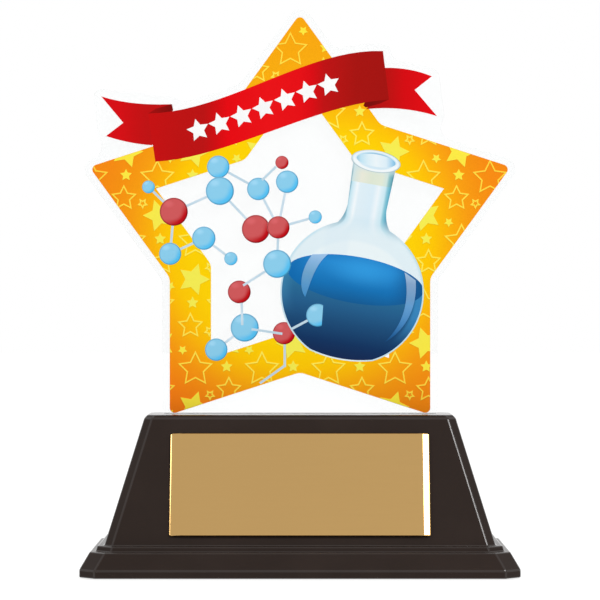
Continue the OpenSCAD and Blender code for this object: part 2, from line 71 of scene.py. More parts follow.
def rgb(code: str) -> Colour:
    """Turns a written colour into the linear values that a shader takes.

    Args:
        code: six hexadecimal digits, red, green and blue, as a designer writes them.

    Returns:
        The linear colour, opaque.
    """
    parts = [int(code[i:i + 2], 16) / 255 for i in (0, 2, 4)]
    linear = [c / 12.92 if c <= 0.04045 else ((c + 0.055) / 1.055) ** 2.4 for c in parts]
    return (linear[0], linear[1], linear[2], 1.0)


# ---- Material graphs ------------------------------------------------------------------------


class Wire:
    """An output socket of a node graph, on which arithmetic is written as plain expressions."""

    def __init__(self, graph: "Graph", socket: bpy.types.NodeSocket) -> None:
        """Wraps a socket.

        Args:
            graph: the graph that the socket belongs to, where new nodes go.
            socket: the output socket.
        """
        self.graph = graph
        self.socket = socket

    def _math(self, operation: str, *values: Number) -> "Wire":
        """Adds a Math node on the values and returns its output."""
        return self.graph.add("ShaderNodeMath", {"operation": operation}, dict(enumerate(values)))

    def __add__(self, other: Number) -> "Wire":
        """The sum."""
        return self._math("ADD", self, other)

    __radd__ = __add__

    def __sub__(self, other: Number) -> "Wire":
        """The difference."""
        return self._math("SUBTRACT", self, other)

    def __rsub__(self, other: Number) -> "Wire":
        """The difference from a number."""
        return self._math("SUBTRACT", other, self)

    def __mul__(self, other: Number) -> "Wire":
        """The product."""
        return self._math("MULTIPLY", self, other)

    __rmul__ = __mul__

    def __truediv__(self, other: Number) -> "Wire":
        """The quotient."""
        return self._math("DIVIDE", self, other)

    def __abs__(self) -> "Wire":
        """The size without its sign."""
        return self._math("ABSOLUTE", self)

    def root(self) -> "Wire":
        """The square root."""
        return self._math("SQRT", self)

    def reach(self, other: "Wire") -> "Wire":
        """The length of the sides that this and another make at right angles."""
        return (self * self + other * other).root()

    def above(self, level: Number) -> "Wire":
        """One where this is over the level, and nought elsewhere."""
        return self._math("GREATER_THAN", self, level)


class Graph:
    """The node graph of one material or of the world, built by calls."""

    def __init__(self, tree: bpy.types.NodeTree) -> None:
        """Empties a node tree and takes it over.

        Args:
            tree: the material's or the world's node tree.
        """
        self.tree = tree
        self.tree.nodes.clear()

    def add(self, kind: str, settings: Optional[dict] = None, inputs: Optional[dict] = None,
            output: Union[int, str] = 0) -> Wire:
        """Adds one node.

        Args:
            kind: the node's type.
            settings: its properties, set first; "stops" is a ramp's list of places and colours.
            inputs: the values or wires of its sockets, by name or number.
            output: the output socket to return.

        Returns:
            The chosen output.
        """
        node = self.tree.nodes.new(kind)
        for name, value in (settings or {}).items():
            if name == "stops":
                self._set_stops(node.color_ramp, value)
            else:
                setattr(node, name, value)
        for key, value in (inputs or {}).items():
            if isinstance(value, Wire):
                self.tree.links.new(value.socket, node.inputs[key])
            else:
                node.inputs[key].default_value = value
        return Wire(self, node.outputs[output]) if len(node.outputs) else Wire(self, None)

    @staticmethod
    def _set_stops(ramp: bpy.types.ColorRamp, stops: list[tuple[float, Colour]]) -> None:
        """Writes a ramp's stops.

        Args:
            ramp: the ramp of a Color Ramp node.
            stops: place and colour of each stop, in order.
        """
        while len(ramp.elements) < len(stops):
            ramp.elements.new(1.0)
        for element, (place, colour) in zip(ramp.elements, stops):
            element.position = place
            element.color = colour

    def place(self) -> tuple[Wire, Wire, Wire]:
        """The point's place on the object, in millimetres.

        Returns:
            X, Y and Z.
        """
        point = self.add("ShaderNodeTexCoord", output="Object")
        split = [self.add("ShaderNodeSeparateXYZ", inputs={0: point}, output=i) for i in range(3)]
        return split[0] * (1 / MM), split[1] * (1 / MM), split[2] * (1 / MM)

    def ease(self, value: Wire, low: float, high: float) -> Wire:
        """A soft step from nought at one value to one at another.

        Args:
            value: what is measured.
            low: where the step gives nought.
            high: where the step gives one.

        Returns:
            The step.
        """
        settings = {"interpolation_type": "SMOOTHSTEP"}
        return self.add("ShaderNodeMapRange", settings, {0: value, 1: low, 2: high})

    def band(self, value: Wire, centre: float, half: float, soft: float) -> Wire:
        """A soft stripe: one within half of the centre, nought past half and soft.

        Args:
            value: what is measured.
            centre: the middle of the stripe.
            half: half its width.
            soft: how wide its soft edges are.

        Returns:
            The stripe.
        """
        return 1 - self.ease(abs(value - centre), half, half + soft)

    def ramp(self, value: Wire, stops: Sequence[Stop]) -> Wire:
        """A colour that runs evenly from stop to stop as a value grows.

        Args:
            value: what is measured.
            stops: values, in order and in the value's own unit, each with its written colour.

        Returns:
            The colour.
        """
        low, high = stops[0][0], stops[-1][0]
        share = self.add("ShaderNodeMapRange", inputs={0: value, 1: low, 2: high})
        spread = [((at - low) / (high - low), rgb(code)) for at, code in stops]
        return self.add("ShaderNodeValToRGB", {"stops": spread}, {0: share})

    def blend(self, share: Number, first: Tint, second: Tint) -> Wire:
        """Mixes two colours.

        Args:
            share: how much of the second shows.
            first: the colour below.
            second: the colour above.

        Returns:
            The mixed colour.
        """
        inputs = {0: share, 6: first, 7: second}
        return self.add("ShaderNodeMix", {"data_type": "RGBA"}, inputs, output=2)

    def dimmed(self, colour: Tint, amount: Wire) -> Wire:
        """A colour made lighter or darker by a factor.

        Args:
            colour: the colour.
            amount: the factor.

        Returns:
            The scaled colour.
        """
        vector = colour if isinstance(colour, Wire) else colour[:3]
        return self.add("ShaderNodeVectorMath", {"operation": "SCALE"}, {0: vector, "Scale": amount})

    def grain(self, size: float, detail: float = 2.0,
              stretch: tuple[float, float, float] = (1, 1, 1)) -> Wire:
        """Fine noise on the object.

        Args:
            size: how far apart its grains are, in metres.
            detail: how many finer layers it has.
            stretch: how much faster it changes along X, Y and Z.

        Returns:
            The noise, from 0 to 1 about a half.
        """
        point = self.add("ShaderNodeTexCoord", output="Object")
        point = self.add("ShaderNodeMapping", inputs={"Vector": point, "Scale": stretch})
        return self.add("ShaderNodeTexNoise", inputs={"Vector": point, "Scale": 1 / size, "Detail": detail})

    def bump(self, height: Wire, depth: float) -> Wire:
        """A surface's small relief.

        Args:
            height: how high each point stands, from 0 to 1.
            depth: the relief's depth, in metres.

        Returns:
            The bent normal.
        """
        return self.add("ShaderNodeBump", inputs={"Height": height, "Distance": depth, "Strength": 1})

    def surface(self, **inputs: Union[Number, Tint]) -> Wire:
        """The usual shader.

        Args:
            inputs: its sockets, with underscores for the spaces in their names.

        Returns:
            The shader.
        """
        named = {name.replace("_", " "): value for name, value in inputs.items()}
        return self.add("ShaderNodeBsdfPrincipled", inputs=named)


@dataclass(frozen=True)
class Finish:
    """What a surface is made of. Each kind of finish adds its own graph."""

    name: str

    def shader(self, graph: Graph) -> Wire:
        """Builds the finish's shader in a graph."""
        raise NotImplementedError

    def material(self) -> bpy.types.Material:
        """Makes the material.

        Returns:
            A new material, named after the finish.
        """
        made = bpy.data.materials.new(self.name)
        made.use_nodes = True
        graph = Graph(made.node_tree)
        graph.add("ShaderNodeOutputMaterial", inputs={"Surface": self.shader(graph)})
        return made


@dataclass(frozen=True)
class MouldedPlastic(Finish):
    """Injection-moulded plastic, glossy or with a fine spark-eroded grain."""

    colour: Colour
    gloss: float = 0.2
    specular: float = 0.22
    edge_gloss: float = 0.12
    edge_coat: float = 0.5
    cloud_size: float = 14 * MM
    flow_size: float = 9 * MM
    grain_size: float = 0.5 * MM
    relief: float = 0.002 * MM

    def shader(self, graph: Graph) -> Wire:
        """Mottles the colour faintly, and lets flow marks and handling dull the gloss.

        Args:
            graph: the material's graph.

        Returns:
            The shader.
        """
        cloud = graph.grain(self.cloud_size, detail=3)
        fine = graph.grain(self.grain_size, detail=4)
        flow = graph.grain(self.flow_size, detail=2, stretch=(0.35, 1, 1.6))
        tone = graph.dimmed(self.colour, 1 + graph.ease(cloud, 0.35, 0.7) * 0.15)
        rough = self.gloss + (flow - 0.5) * 0.12 + (fine - 0.5) * 0.08
        edges = graph.add("ShaderNodeAttribute", {"attribute_name": Workpiece.BURNISH}, output="Fac")
        return graph.surface(Base_Color=tone, Roughness=rough, IOR=1.5, Specular_IOR_Level=self.specular,
                             Coat_Weight=edges * self.edge_coat, Coat_Roughness=self.edge_gloss,
                             Normal=graph.bump(fine, self.relief))


@dataclass(frozen=True)
class GoldAluminium(Finish):
    """Lacquered gold aluminium, brushed along its length."""

    colour: Colour
    gloss: float = 0.13
    brush: float = 0.22 * MM
    cloud_size: float = 22 * MM

    def shader(self, graph: Graph) -> Wire:
        """Draws the brush's fine lines along the plate, in its tone, its gloss and its relief.

        Args:
            graph: the material's graph.

        Returns:
            The shader.
        """
        lines = graph.grain(self.brush, detail=3, stretch=(0.02, 1, 1))
        cloud = graph.grain(self.cloud_size, detail=2)
        tone = graph.dimmed(self.colour, 0.975 + lines * 0.03 + cloud * 0.02)
        rough = self.gloss + (lines - 0.5) * 0.05 + (cloud - 0.5) * 0.03
        return graph.surface(Base_Color=tone, Roughness=rough, Metallic=1.0,
                             Normal=graph.bump(lines, 0.0002 * MM))


@dataclass(frozen=True)
class Steel(Finish):
    """Plated or rolled steel, in a grey of its own."""

    colour: Colour
    gloss: float = 0.32
    mottle: float = 1.2 * MM

    def shader(self, graph: Graph) -> Wire:
        """Mottles the plating, and dulls it in spots.

        Args:
            graph: the material's graph.

        Returns:
            The shader.
        """
        spots = graph.grain(self.mottle, detail=5)
        scratches = graph.grain(0.3 * MM, detail=2, stretch=(0.08, 1, 1))
        tone = graph.dimmed(self.colour, 0.8 + spots * 0.4)
        rough = self.gloss + (spots - 0.5) * 0.3 + (scratches - 0.5) * 0.1
        return graph.surface(Base_Color=tone, Roughness=rough, Metallic=1.0,
                             Normal=graph.bump(scratches, 0.002 * MM))


@dataclass(frozen=True)
class SoftPad(Finish):
    """A soft, matt material: rubber, tape or dried adhesive."""

    colour: Colour
    gloss: float = 0.75
    grain_size: float = 0.25 * MM
    relief: float = 0.02 * MM

    def shader(self, graph: Graph) -> Wire:
        """Gives the pad its open grain and a little dust.

        Args:
            graph: the material's graph.

        Returns:
            The shader.
        """
        pores = graph.grain(self.grain_size, detail=4)
        dust = graph.grain(3 * MM, detail=3)
        paler = tuple(0.85 * c + 0.03 for c in self.colour[:3]) + (1.0,)
        tone = graph.blend(graph.ease(dust, 0.45, 0.75), self.colour, paler)
        rough = self.gloss + (pores - 0.5) * 0.2
        return graph.surface(Base_Color=tone, Roughness=rough, Specular_IOR_Level=0.3,
                             Normal=graph.bump(pores, self.relief))


@dataclass(frozen=True)
class ClearAcrylic(Finish):
    """Clear cast acrylic, polished, which lets lamps through to what stands behind it."""

    colour: Colour = (0.985, 0.995, 0.995, 1.0)
    index: float = 1.49
    clearness: float = 0.93

    def shader(self, graph: Graph) -> Wire:
        """Polished glass for what is looked at, and a faint shade for lamps.

        Args:
            graph: the material's graph.

        Returns:
            The shader.
        """
        smears = graph.grain(7 * MM, detail=3)
        rough = 0.004 + graph.ease(smears, 0.45, 0.8) * 0.02
        glass = graph.surface(Base_Color=self.colour, Roughness=rough, IOR=self.index,
                              Transmission_Weight=self.clearness)
        clear = graph.add("ShaderNodeBsdfTransparent", inputs={0: (0.94, 0.95, 0.95, 1.0)})
        lamp = graph.add("ShaderNodeLightPath", output="Is Shadow Ray")
        return graph.add("ShaderNodeMixShader", inputs={0: lamp, 1: glass, 2: clear})


# ---- Printed inks ---------------------------------------------------------------------------


@dataclass(frozen=True)
class Artwork:
    """Where the drawing lies on the acrylic: places in millimetres about the star's centre."""

    centre: ClassVar[float] = 83.67
    flask_x: ClassVar[float] = 13.0
    flask_z: ClassVar[float] = -14.2
    flask_tilt: ClassVar[float] = math.radians(10)

    @classmethod
    def drawing(cls, graph: Graph) -> tuple[Wire, Wire]:
        """The point's place in the drawing.

        Args:
            graph: the material's graph.

        Returns:
            How far across and how far up from the star's centre.
        """
        x, _, z = graph.place()
        return x, z - cls.centre

    @classmethod
    def flask(cls, graph: Graph) -> tuple[Wire, Wire]:
        """The point's place on the flask, as if it stood upright.

        Args:
            graph: the material's graph.

        Returns:
            How far across and how far up from the centre of the flask's body.
        """
        x, z = cls.drawing(graph)
        dx = x - cls.flask_x
        dz = z - cls.flask_z
        across = dx * math.cos(cls.flask_tilt) - dz * math.sin(cls.flask_tilt)
        up = dx * math.sin(cls.flask_tilt) + dz * math.cos(cls.flask_tilt)
        return across, up


@dataclass(frozen=True)
class Ink(Finish):
    """Cured printing ink: fine drops, a satin coat and a faint relief. Each ink adds its own colour."""

    gloss: float = 0.34
    specular: float = 0.05
    drop: float = 0.12 * MM

    def colour(self, graph: Graph) -> Tint:
        """The ink's colour over the drawing."""
        raise NotImplementedError

    def shader(self, graph: Graph) -> Wire:
        """Lays the colour down in fine drops.

        Args:
            graph: the material's graph.

        Returns:
            The shader.
        """
        drops = graph.grain(self.drop, detail=2)
        passes = graph.grain(0.9 * MM, detail=1, stretch=(0.04, 1, 1))
        tone = graph.dimmed(self.colour(graph), 0.97 + drops * 0.045 + passes * 0.015)
        rough = self.gloss + (drops - 0.5) * 0.2
        return graph.surface(Base_Color=tone, Roughness=rough, Specular_IOR_Level=self.specular,
                             Normal=graph.bump(drops, 0.003 * MM))


@dataclass(frozen=True)
class PlainInk(Ink):
    """An ink of one colour that thins a little towards another."""

    full: Colour = (1.0, 1.0, 1.0, 1.0)
    thin: Colour = (0.9, 0.9, 0.9, 1.0)

    def colour(self, graph: Graph) -> Tint:
        """Clouds the full colour with the thin one."""
        return graph.blend(graph.ease(graph.grain(6 * MM, detail=2), 0.4, 0.75), self.full, self.thin)


@dataclass(frozen=True)
class RadialInk(Ink):
    """An ink that changes outwards from the star's centre."""

    stops: tuple[Stop, ...] = ()

    def colour(self, graph: Graph) -> Tint:
        """Runs through the stops, which are distances from the star's centre."""
        x, z = Artwork.drawing(graph)
        reach = x.reach(z)
        return graph.ramp(reach, self.stops)


@dataclass(frozen=True)
class BorderInk(RadialInk):
    """The border's gradient, which is strongest in the star's lower left foot and evens out in its crown.
    Its foot colour and outer stops are partly the print's own orange and partly painted light, lightened
    against the shade near the base.
    """

    deep_foot_lightened: Colour = (1.0, 0.2, 0.02, 1.0)
    crown: Colour = (1.0, 0.5, 0.02, 1.0)

    def colour(self, graph: Graph) -> Tint:
        """Strengthens the radial gradient towards the lower left foot with a colour lightened as painted
        light against the shade there, and evens it towards the top.
        """
        x, z = Artwork.drawing(graph)
        towards_foot = (x * -0.59 + z * -0.81)
        # painted light: the foot colour is lightened to offset the shade that falls on the lower left foot
        # next to the dark base
        foot = graph.ease(towards_foot, 36, 56) * 0.45
        footed = graph.blend(foot, super().colour(graph), self.deep_foot_lightened)
        return graph.blend(graph.ease(z, 22, 36) * 0.75, footed, self.crown)


@dataclass(frozen=True)
class AcrossInk(Ink):
    """An ink that changes from left to right, and a little from top to bottom."""

    stops: tuple[Stop, ...] = ()

    def colour(self, graph: Graph) -> Tint:
        """Runs through the stops, which are places across the drawing."""
        x, _ = Artwork.drawing(graph)
        return graph.ramp(x, self.stops)


@dataclass(frozen=True)
class LiquidSurfaceInk(Ink):
    """The lit top of the liquid in the drawn flask."""

    def colour(self, graph: Graph) -> Tint:
        """Lights the middle from above, and darkens the ends and the near edge."""
        u, v = Artwork.flask(graph)
        down = graph.ramp(v, [
            (-2.4, "125C96"), (1.2, "1472B6"), (6.5, "2488D0"), (9, "1F7AC4")])
        glow = ((u - 2) * (u - 2) / 70 + (v - 6) * (v - 6) / 12).root()
        lit = graph.blend((1 - graph.ease(glow, 0, 1.5)) * 0.85, down, rgb("329CE2"))
        right_end = graph.blend(graph.ease(u, 8, 16.5) * 0.9, lit, rgb("14528A"))
        return graph.blend((1 - graph.ease(u, -16.8, -9)) * 0.7, right_end, rgb("0A66AC"))


@dataclass(frozen=True)
class LiquidInk(Ink):
    """The body of the liquid in the drawn flask."""

    def colour(self, graph: Graph) -> Tint:
        """Darkens the liquid downwards, and brightens its right edge."""
        u, v = Artwork.flask(graph)
        down = graph.ramp(v, [
            (-17, "13264F"), (-13, "10335F"), (-8, "1C4C78"), (-4, "245E8C"), (2, "2C749E")])
        reach = u.reach(v)
        rim = graph.ease(reach, 15.2, 16.4) * graph.ease(u, 9, 14) * graph.ease(v, -12, -2)
        lit = graph.blend(rim * 0.9, down, rgb("3A88C0"))
        left = graph.ease(reach, 14.2, 17.6) * (1 - graph.ease(u, -12, -5)) * graph.ease(v, -9, -1)
        return graph.blend(left * 0.6, lit, rgb("3F86B0"))


@dataclass(frozen=True)
class GlassInk(Ink):
    """The pale glass of the drawn flask, above its liquid."""

    def colour(self, graph: Graph) -> Tint:
        """Draws the lit dome, the shaded neck and its stripes."""
        u, v = Artwork.flask(graph)
        dome = (u / 14.6).reach((v - 1) / 12.4)
        body = graph.blend(1 - graph.ease(dome, 0.9, 1.0), rgb("E2F1F7"), rgb("EBF6F9"))
        outer = u.reach(v)
        brink = graph.ease(outer, 17.0, 17.9) * (1 - graph.ease(v, 13, 15.5))
        body = graph.blend(brink * 0.7, body, rgb("B4DCEC"))
        haze = graph.band(u, -6, 2.2, 1.6) * graph.ease(v, 6, 9)
        body = graph.blend(haze * 0.4, body, rgb("DCEDF6"))
        flare = 1 - graph.ease(v, 13.2, 19.5)
        neck = graph.ramp(u / (1 + flare * flare * 0.9), [
            (-5.4, "5F9AB0"), (-5.0, "7FB2C4"), (-4.7, "C4E6F2"), (-4.0, "DDF0F8"),
            (-3.3, "F3FAFD"), (-2.6, "E0F0F8"), (0.8, "DBEEF8"), (2.1, "EEF7FC"), (2.9, "DCF0F8"),
            (3.7, "CDEAF4"), (4.2, "90CBDC"), (4.7, "6CB8CE"), (5.0, "5CA6C2"), (5.4, "4A94B0")])
        base = graph.blend(graph.band(v, 16, 1.5, 2.5) * 0.25, neck, rgb("C4E2EE"))
        return graph.blend(graph.ease(v, 13.5, 19), body, base)


@dataclass(frozen=True)
class NeckShadeInk(Ink):
    """The straw-coloured ring inside the drawn flask's neck, under its rim."""

    def colour(self, graph: Graph) -> Tint:
        """Shades the ring towards its sides and its lower edge."""
        u, v = Artwork.flask(graph)
        ring = graph.ramp(u, [
            (-5.6, "5F98AC"), (-5.1, "8DB6C2"), (-4.8, "CFE4E6"), (-4.0, "DCE6DE"),
            (-2.6, "E9EADA"), (0.0, "DEE7D4"), (2.6, "E2EAD8"), (3.7, "D2E6E0"), (4.2, "94C6CA"),
            (4.8, "6CAEBC"), (5.2, "4C8A9E"), (5.6, "3F788E")])
        lip_shade = graph.ease(v, 29.6, 31.4) * 0.6
        return graph.blend(lip_shade, ring, rgb("CFE3E8"))


@dataclass(frozen=True)
class RimInk(Ink):
    """The lip of the drawn flask."""

    def colour(self, graph: Graph) -> Tint:
        """Turns from a white middle to blue edges."""
        u, v = Artwork.flask(graph)
        reach = ((u - 0.2) / 6.2).reach((v - 33.2) / 2.7)
        far = graph.ramp(reach, [
            (0.7, "8FC0E0"), (0.78, "C4E4F4"), (0.88, "F2F8FC"), (0.96, "D4EAF4"), (1.0, "8AB8C8")])
        near = graph.ramp(reach, [
            (0.7, "D4EAF6"), (0.76, "F2F9FC"), (0.9, "F4FAFC"), (0.96, "CFE2E8"), (1.0, "76959F")])
        return graph.blend(graph.ease(v, 32.4, 33.8), near, far)


@dataclass(frozen=True)
class StreakInk(Ink):
    """The light streaks on the drawn flask, which fade downwards into the liquid."""

    def colour(self, graph: Graph) -> Tint:
        """Fades each streak from its pale top to its tip."""
        u, v = Artwork.flask(graph)
        left = graph.ramp(v, [
            (-3.2, "3F8CC6"), (-0.6, "5697CB"), (3, "6FA4CC"), (6, "88B6E0"), (8.4, "A4C8EC")])
        right = graph.ramp(v, [
            (-11.2, "12406F"), (-8.5, "27649E"), (-5, "4A8AC4"), (-1, "659FD2"), (1, "709DC8"),
            (4.5, "86A6CB"), (7.2, "A9C4DE")])
        return graph.blend(u.above(0.0), left, right)


@dataclass(frozen=True)
class AtomInk(Ink):
    """A drawn ball, shaded about its own centre by its own map."""

    heart: Colour = (0.5, 0.5, 0.5, 1.0)
    glint: Colour = (1.0, 1.0, 1.0, 1.0)
    bright: Colour = (0.5, 0.5, 0.5, 1.0)
    rim: Colour = (0.1, 0.1, 0.1, 1.0)

    def colour(self, graph: Graph) -> Tint:
        """Shades the ball: a soft heart, a glint up left, a bright crescent down right and a dark rim."""
        spot = graph.add("ShaderNodeUVMap", {"uv_map": Atoms.MAP})
        a = graph.add("ShaderNodeSeparateXYZ", inputs={0: spot}, output=0) * 2 - 1
        b = graph.add("ShaderNodeSeparateXYZ", inputs={0: spot}, output=1) * 2 - 1
        reach = a.reach(b)
        lower = (a * 0.78 - b * 0.62)
        crescent = graph.ease(lower, 0.1, 0.8) * graph.ease(reach, 0.35, 0.8)
        ball = graph.blend(crescent, self.heart, self.bright)
        bottom = graph.ease(b * -1, 0.45, 0.9)
        ball = graph.blend(bottom * 0.6, ball, self.bright)
        gx = a + 0.36
        gz = b - 0.56
        glint = 1 - graph.ease((gx * gx + gz * gz * 2).root(), 0.08, 0.5)
        ball = graph.blend(glint * 0.85, ball, self.glint)
        edge = graph.ease(reach, 0.86, 0.98) * (0.55 + graph.ease(lower, -0.5, 0.9) * 0.45)
        return graph.blend(edge, ball, self.rim)


class Finishes(Enum):
    """Every finish on the trophy."""

    BASE = MouldedPlastic("base_black_gloss", rgb("2E2521"), specular=0.06)
    COVER = MouldedPlastic("cover_black_satin", (0.014, 0.013, 0.013, 1.0), gloss=0.45, relief=0.02 * MM)
    SCREW = Steel("zinc_plated_steel", (0.48, 0.49, 0.5, 1.0))
    BALLAST = Steel("rolled_steel", (0.24, 0.24, 0.25, 1.0), gloss=0.5, mottle=5 * MM)
    FOOT = SoftPad("foot_rubber", (0.045, 0.045, 0.046, 1.0))
    TAPE = SoftPad("white_foam_tape", (0.78, 0.78, 0.76, 1.0), grain_size=0.4 * MM)
    ADHESIVE = SoftPad("dried_adhesive", (0.7, 0.7, 0.64, 1.0), gloss=0.4, relief=0.05 * MM)
    GOLD = GoldAluminium("gold_aluminium", rgb("BC9860"))
    ACRYLIC = ClearAcrylic("clear_acrylic")
    WHITE = PlainInk("white_ink", full=rgb("FDFDFD"), thin=rgb("F7F7F7"))
    # The outer stops and the foot colour are lightened a little: painted light against the shade on the
    # star's lower feet near the base.
    BORDER = BorderInk("border_ink", deep_foot_lightened=rgb("FF6C14"), crown=rgb("F8B00A"), stops=(
        (20, "FDD600"), (28, "FFD200"), (33, "FFC800"), (38, "FCB008"), (42, "F99E0E"),
        (46, "F7930E"), (50, "F78C10"), (57, "F68812")))
    OUTLINED = RadialInk("outlined_star_ink", stops=(
        (30, "FFEE58"), (44, "FFE046"), (56, "FFD23C")))
    FILLED = RadialInk("filled_star_ink", stops=((30, "F6EE54"), (42, "FBEB46"), (56, "FFE63A")))
    BAND = AcrossInk("ribbon_band_ink", stops=(
        (-37.5, "C60C0E"), (-30, "BD0E0E"), (-24, "BB0F10"), (-21, "D0080E"), (-18, "E6040E"),
        (-8, "EA0E14"), (0, "E60A12"), (3, "DA0610"), (6, "BE0E10"), (10, "B2100E"), (14, "A6100C"),
        (22, "A2100C")))
    LEFT_TAIL = AcrossInk("ribbon_left_ink", stops=(
        (-49, "D80A12"), (-45, "D60A12"), (-41, "C80C10"), (-38, "C00E10"), (-32, "BE0E10")))
    RIGHT_TAIL = AcrossInk("ribbon_right_ink", stops=(
        (17, "AE0E0E"), (22, "BC0E0E"), (26, "D4060E"), (33, "E20610")))
    FOLDS = AcrossInk("ribbon_fold_ink", stops=(
        (-37, "A00A0A"), (-32, "7A0806"), (15, "6E0604"), (22, "8E0A08")))
    BOND = PlainInk("bond_ink", full=rgb("C0D8E6"), thin=rgb("D2E4F0"))
    BLUE = AtomInk("blue_atom_ink", heart=rgb("8CCFEE"), glint=rgb("A4DCF8"), bright=rgb("56C2F4"),
                   rim=rgb("3E8FBA"))
    RED = AtomInk("red_atom_ink", heart=rgb("D05A5C"), glint=rgb("DC686C"), bright=rgb("BE0814"),
                  rim=rgb("7E0A14"))
    GLASS = GlassInk("flask_glass_ink")
    NECK_SHADE = NeckShadeInk("neck_shade_ink")
    RIM = RimInk("flask_rim_ink")
    MOUTH = AcrossInk("flask_mouth_ink", stops=(
        (14, "8DC3DE"), (15.2, "C0E4F4"), (17, "DDF0F8"), (19, "ECF6FA"), (21.5, "DDEFF9"),
        (23.2, "98CDEC"), (24, "74B4DE")))
    LIQUID = LiquidInk("liquid_ink")
    SURFACE = LiquidSurfaceInk("liquid_surface_ink")
    STREAK = StreakInk("streak_ink")


_made: dict[str, bpy.types.Material] = {}


def dress(piece: bpy.types.Object, finish: Finishes) -> None:
    """Gives an object its finish, in place of whatever it had.

    Args:
        piece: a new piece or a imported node.
        finish: the finish.
    """
    if finish.name not in _made:
        _made[finish.name] = finish.value.material()
    piece.data.materials.clear()
    piece.data.materials.append(_made[finish.name])


# ---- The bench: modelling by hand -----------------------------------------------------------


class Workpiece:
    """A mesh that is shaped with the modelling tools, one step after another."""

    NEAR = 1e-6
    LEVEL = 0.99
    BURNISH = "burnish"

    def __init__(self, name: str) -> None:
        """Clears the bench for a new piece.

        Args:
            name: what the piece will be called.
        """
        self.name = name
        bpy.ops.object.select_all(action="DESELECT")

    def _claim(self) -> "Workpiece":
        """Names the primitive that was just added and puts its place in its mesh."""
        self.piece = bpy.context.active_object
        self.piece.name = self.name
        self.piece.data.name = self.name
        bpy.ops.object.transform_apply(location=True, rotation=True, scale=True)
        return self

    def block(self, low: Vector, high: Vector) -> "Workpiece":
        """Starts from a block.

        Args:
            low: its lowest corner.
            high: its highest corner.

        Returns:
            The workpiece.
        """
        bpy.ops.mesh.primitive_cube_add(size=1, location=(low + high) / 2, scale=high - low)
        return self._claim()

    def rod(self, place: Vector, radius: float, z_low: float, z_high: float,
            sides: int = 48) -> "Workpiece":
        """Starts from an upright rod.

        Args:
            place: where it stands; its height isn't used.
            radius: its radius.
            z_low: the height of its lower end.
            z_high: the height of its upper end.
            sides: how many sides round it.

        Returns:
            The workpiece.
        """
        bpy.ops.mesh.primitive_cylinder_add(vertices=sides, radius=radius, depth=z_high - z_low,
                                            location=(place.x, place.y, (z_low + z_high) / 2))
        return self._claim()

    def edit(self) -> None:
        """Goes into edit mode with nothing selected."""
        bpy.context.view_layer.objects.active = self.piece
        bpy.ops.object.mode_set(mode="EDIT")
        bpy.ops.mesh.select_all(action="DESELECT")

    def leave(self) -> None:
        """Goes back to object mode."""
        bpy.ops.object.mode_set(mode="OBJECT")

    def pick(self, kind: str, test: Callable) -> None:
        """Selects what passes a test, and nothing else.

        Args:
            kind: "VERT", "EDGE" or "FACE".
            test: takes one of the mesh's vertices, edges or faces.
        """
        bpy.ops.mesh.select_mode(type=kind)
        bpy.ops.mesh.select_all(action="DESELECT")
        mesh = bmesh.from_edit_mesh(self.piece.data)
        parts = {"VERT": mesh.verts, "EDGE": mesh.edges, "FACE": mesh.faces}[kind]
        chosen = [part for part in parts if test(part)]
        for part in chosen:
            part.select_set(True)
        mesh.select_flush_mode()
        bmesh.update_edit_mesh(self.piece.data)

    def pick_level(self, z: float, facing: float) -> None:
        """Selects the flat face at one height that lies about the middle.

        Args:
            z: the height.
            facing: 1 if the face looks up, -1 if it looks down.
        """
        def is_it(face: bmesh.types.BMFace) -> bool:
            """Whether a face is the one."""
            middle = face.calc_center_median()
            return (abs(middle.z - z) < self.NEAR and math.hypot(middle.x, middle.y) < self.NEAR
                    and face.normal.z * facing > self.LEVEL)

        self.pick("FACE", is_it)

    def chamfer_uprights(self, chamfer: float) -> None:
        """Cuts off the four upright edges.

        Args:
            chamfer: how far the cut reaches along each side.
        """
        self.pick("EDGE", lambda e: abs(e.verts[0].co.z - e.verts[1].co.z) > 0.1 * MM)
        bpy.ops.mesh.bevel(offset_type="OFFSET", offset=chamfer, segments=1, affect="EDGES",
                           clamp_overlap=False)

    def extrude(self, rise: float) -> None:
        """Extrudes the selected face straight up, or down where the rise is negative."""
        bpy.ops.mesh.extrude_region_move(TRANSFORM_OT_translate={"value": (0, 0, rise)})

    def swell(self, rise: float, share: float) -> None:
        """Extrudes the selected face straight up and scales it about the upright axis.

        Args:
            rise: how far up.
            share: its new size as a share of the old one.
        """
        self.extrude(rise)
        bpy.ops.transform.resize(value=(share, share, 1), center_override=(0, 0, 0))

    def fit_ring(self, x: float, y: float, chamfer: float) -> None:
        """Moves the eight corners of the selected face onto a chamfered rectangle.

        Args:
            x: half the rectangle's width.
            y: half its depth.
            chamfer: how much each corner is cut.
        """
        mesh = bmesh.from_edit_mesh(self.piece.data)
        corners = [v for v in mesh.verts if v.select]
        corners.sort(key=lambda v: math.atan2(v.co.y, v.co.x))
        targets = [(-x, -y + chamfer), (-x + chamfer, -y), (x - chamfer, -y), (x, -y + chamfer),
                   (x, y - chamfer), (x - chamfer, y), (-x + chamfer, y), (-x, y - chamfer)]
        moves = [(v.index, tx - v.co.x, ty - v.co.y) for v, (tx, ty) in zip(corners, targets)]
        bpy.ops.mesh.select_mode(type="VERT")
        for index, dx, dy in moves:
            self.pick("VERT", lambda v: v.index == index)
            bpy.ops.transform.translate(value=(dx, dy, 0))

    def step(self, z_from: float, z_to: float, x: float, y: float, chamfer: float,
             facing: float = 1) -> None:
        """Raises or sinks the face at one height to another, and fits its outline there.

        Args:
            z_from: where the face is.
            z_to: where it goes.
            x: half its new width.
            y: half its new depth.
            chamfer: its new corner cut.
            facing: which way the face looks.
        """
        self.pick_level(z_from, facing)
        self.extrude(z_to - z_from)
        self.fit_ring(x, y, chamfer)

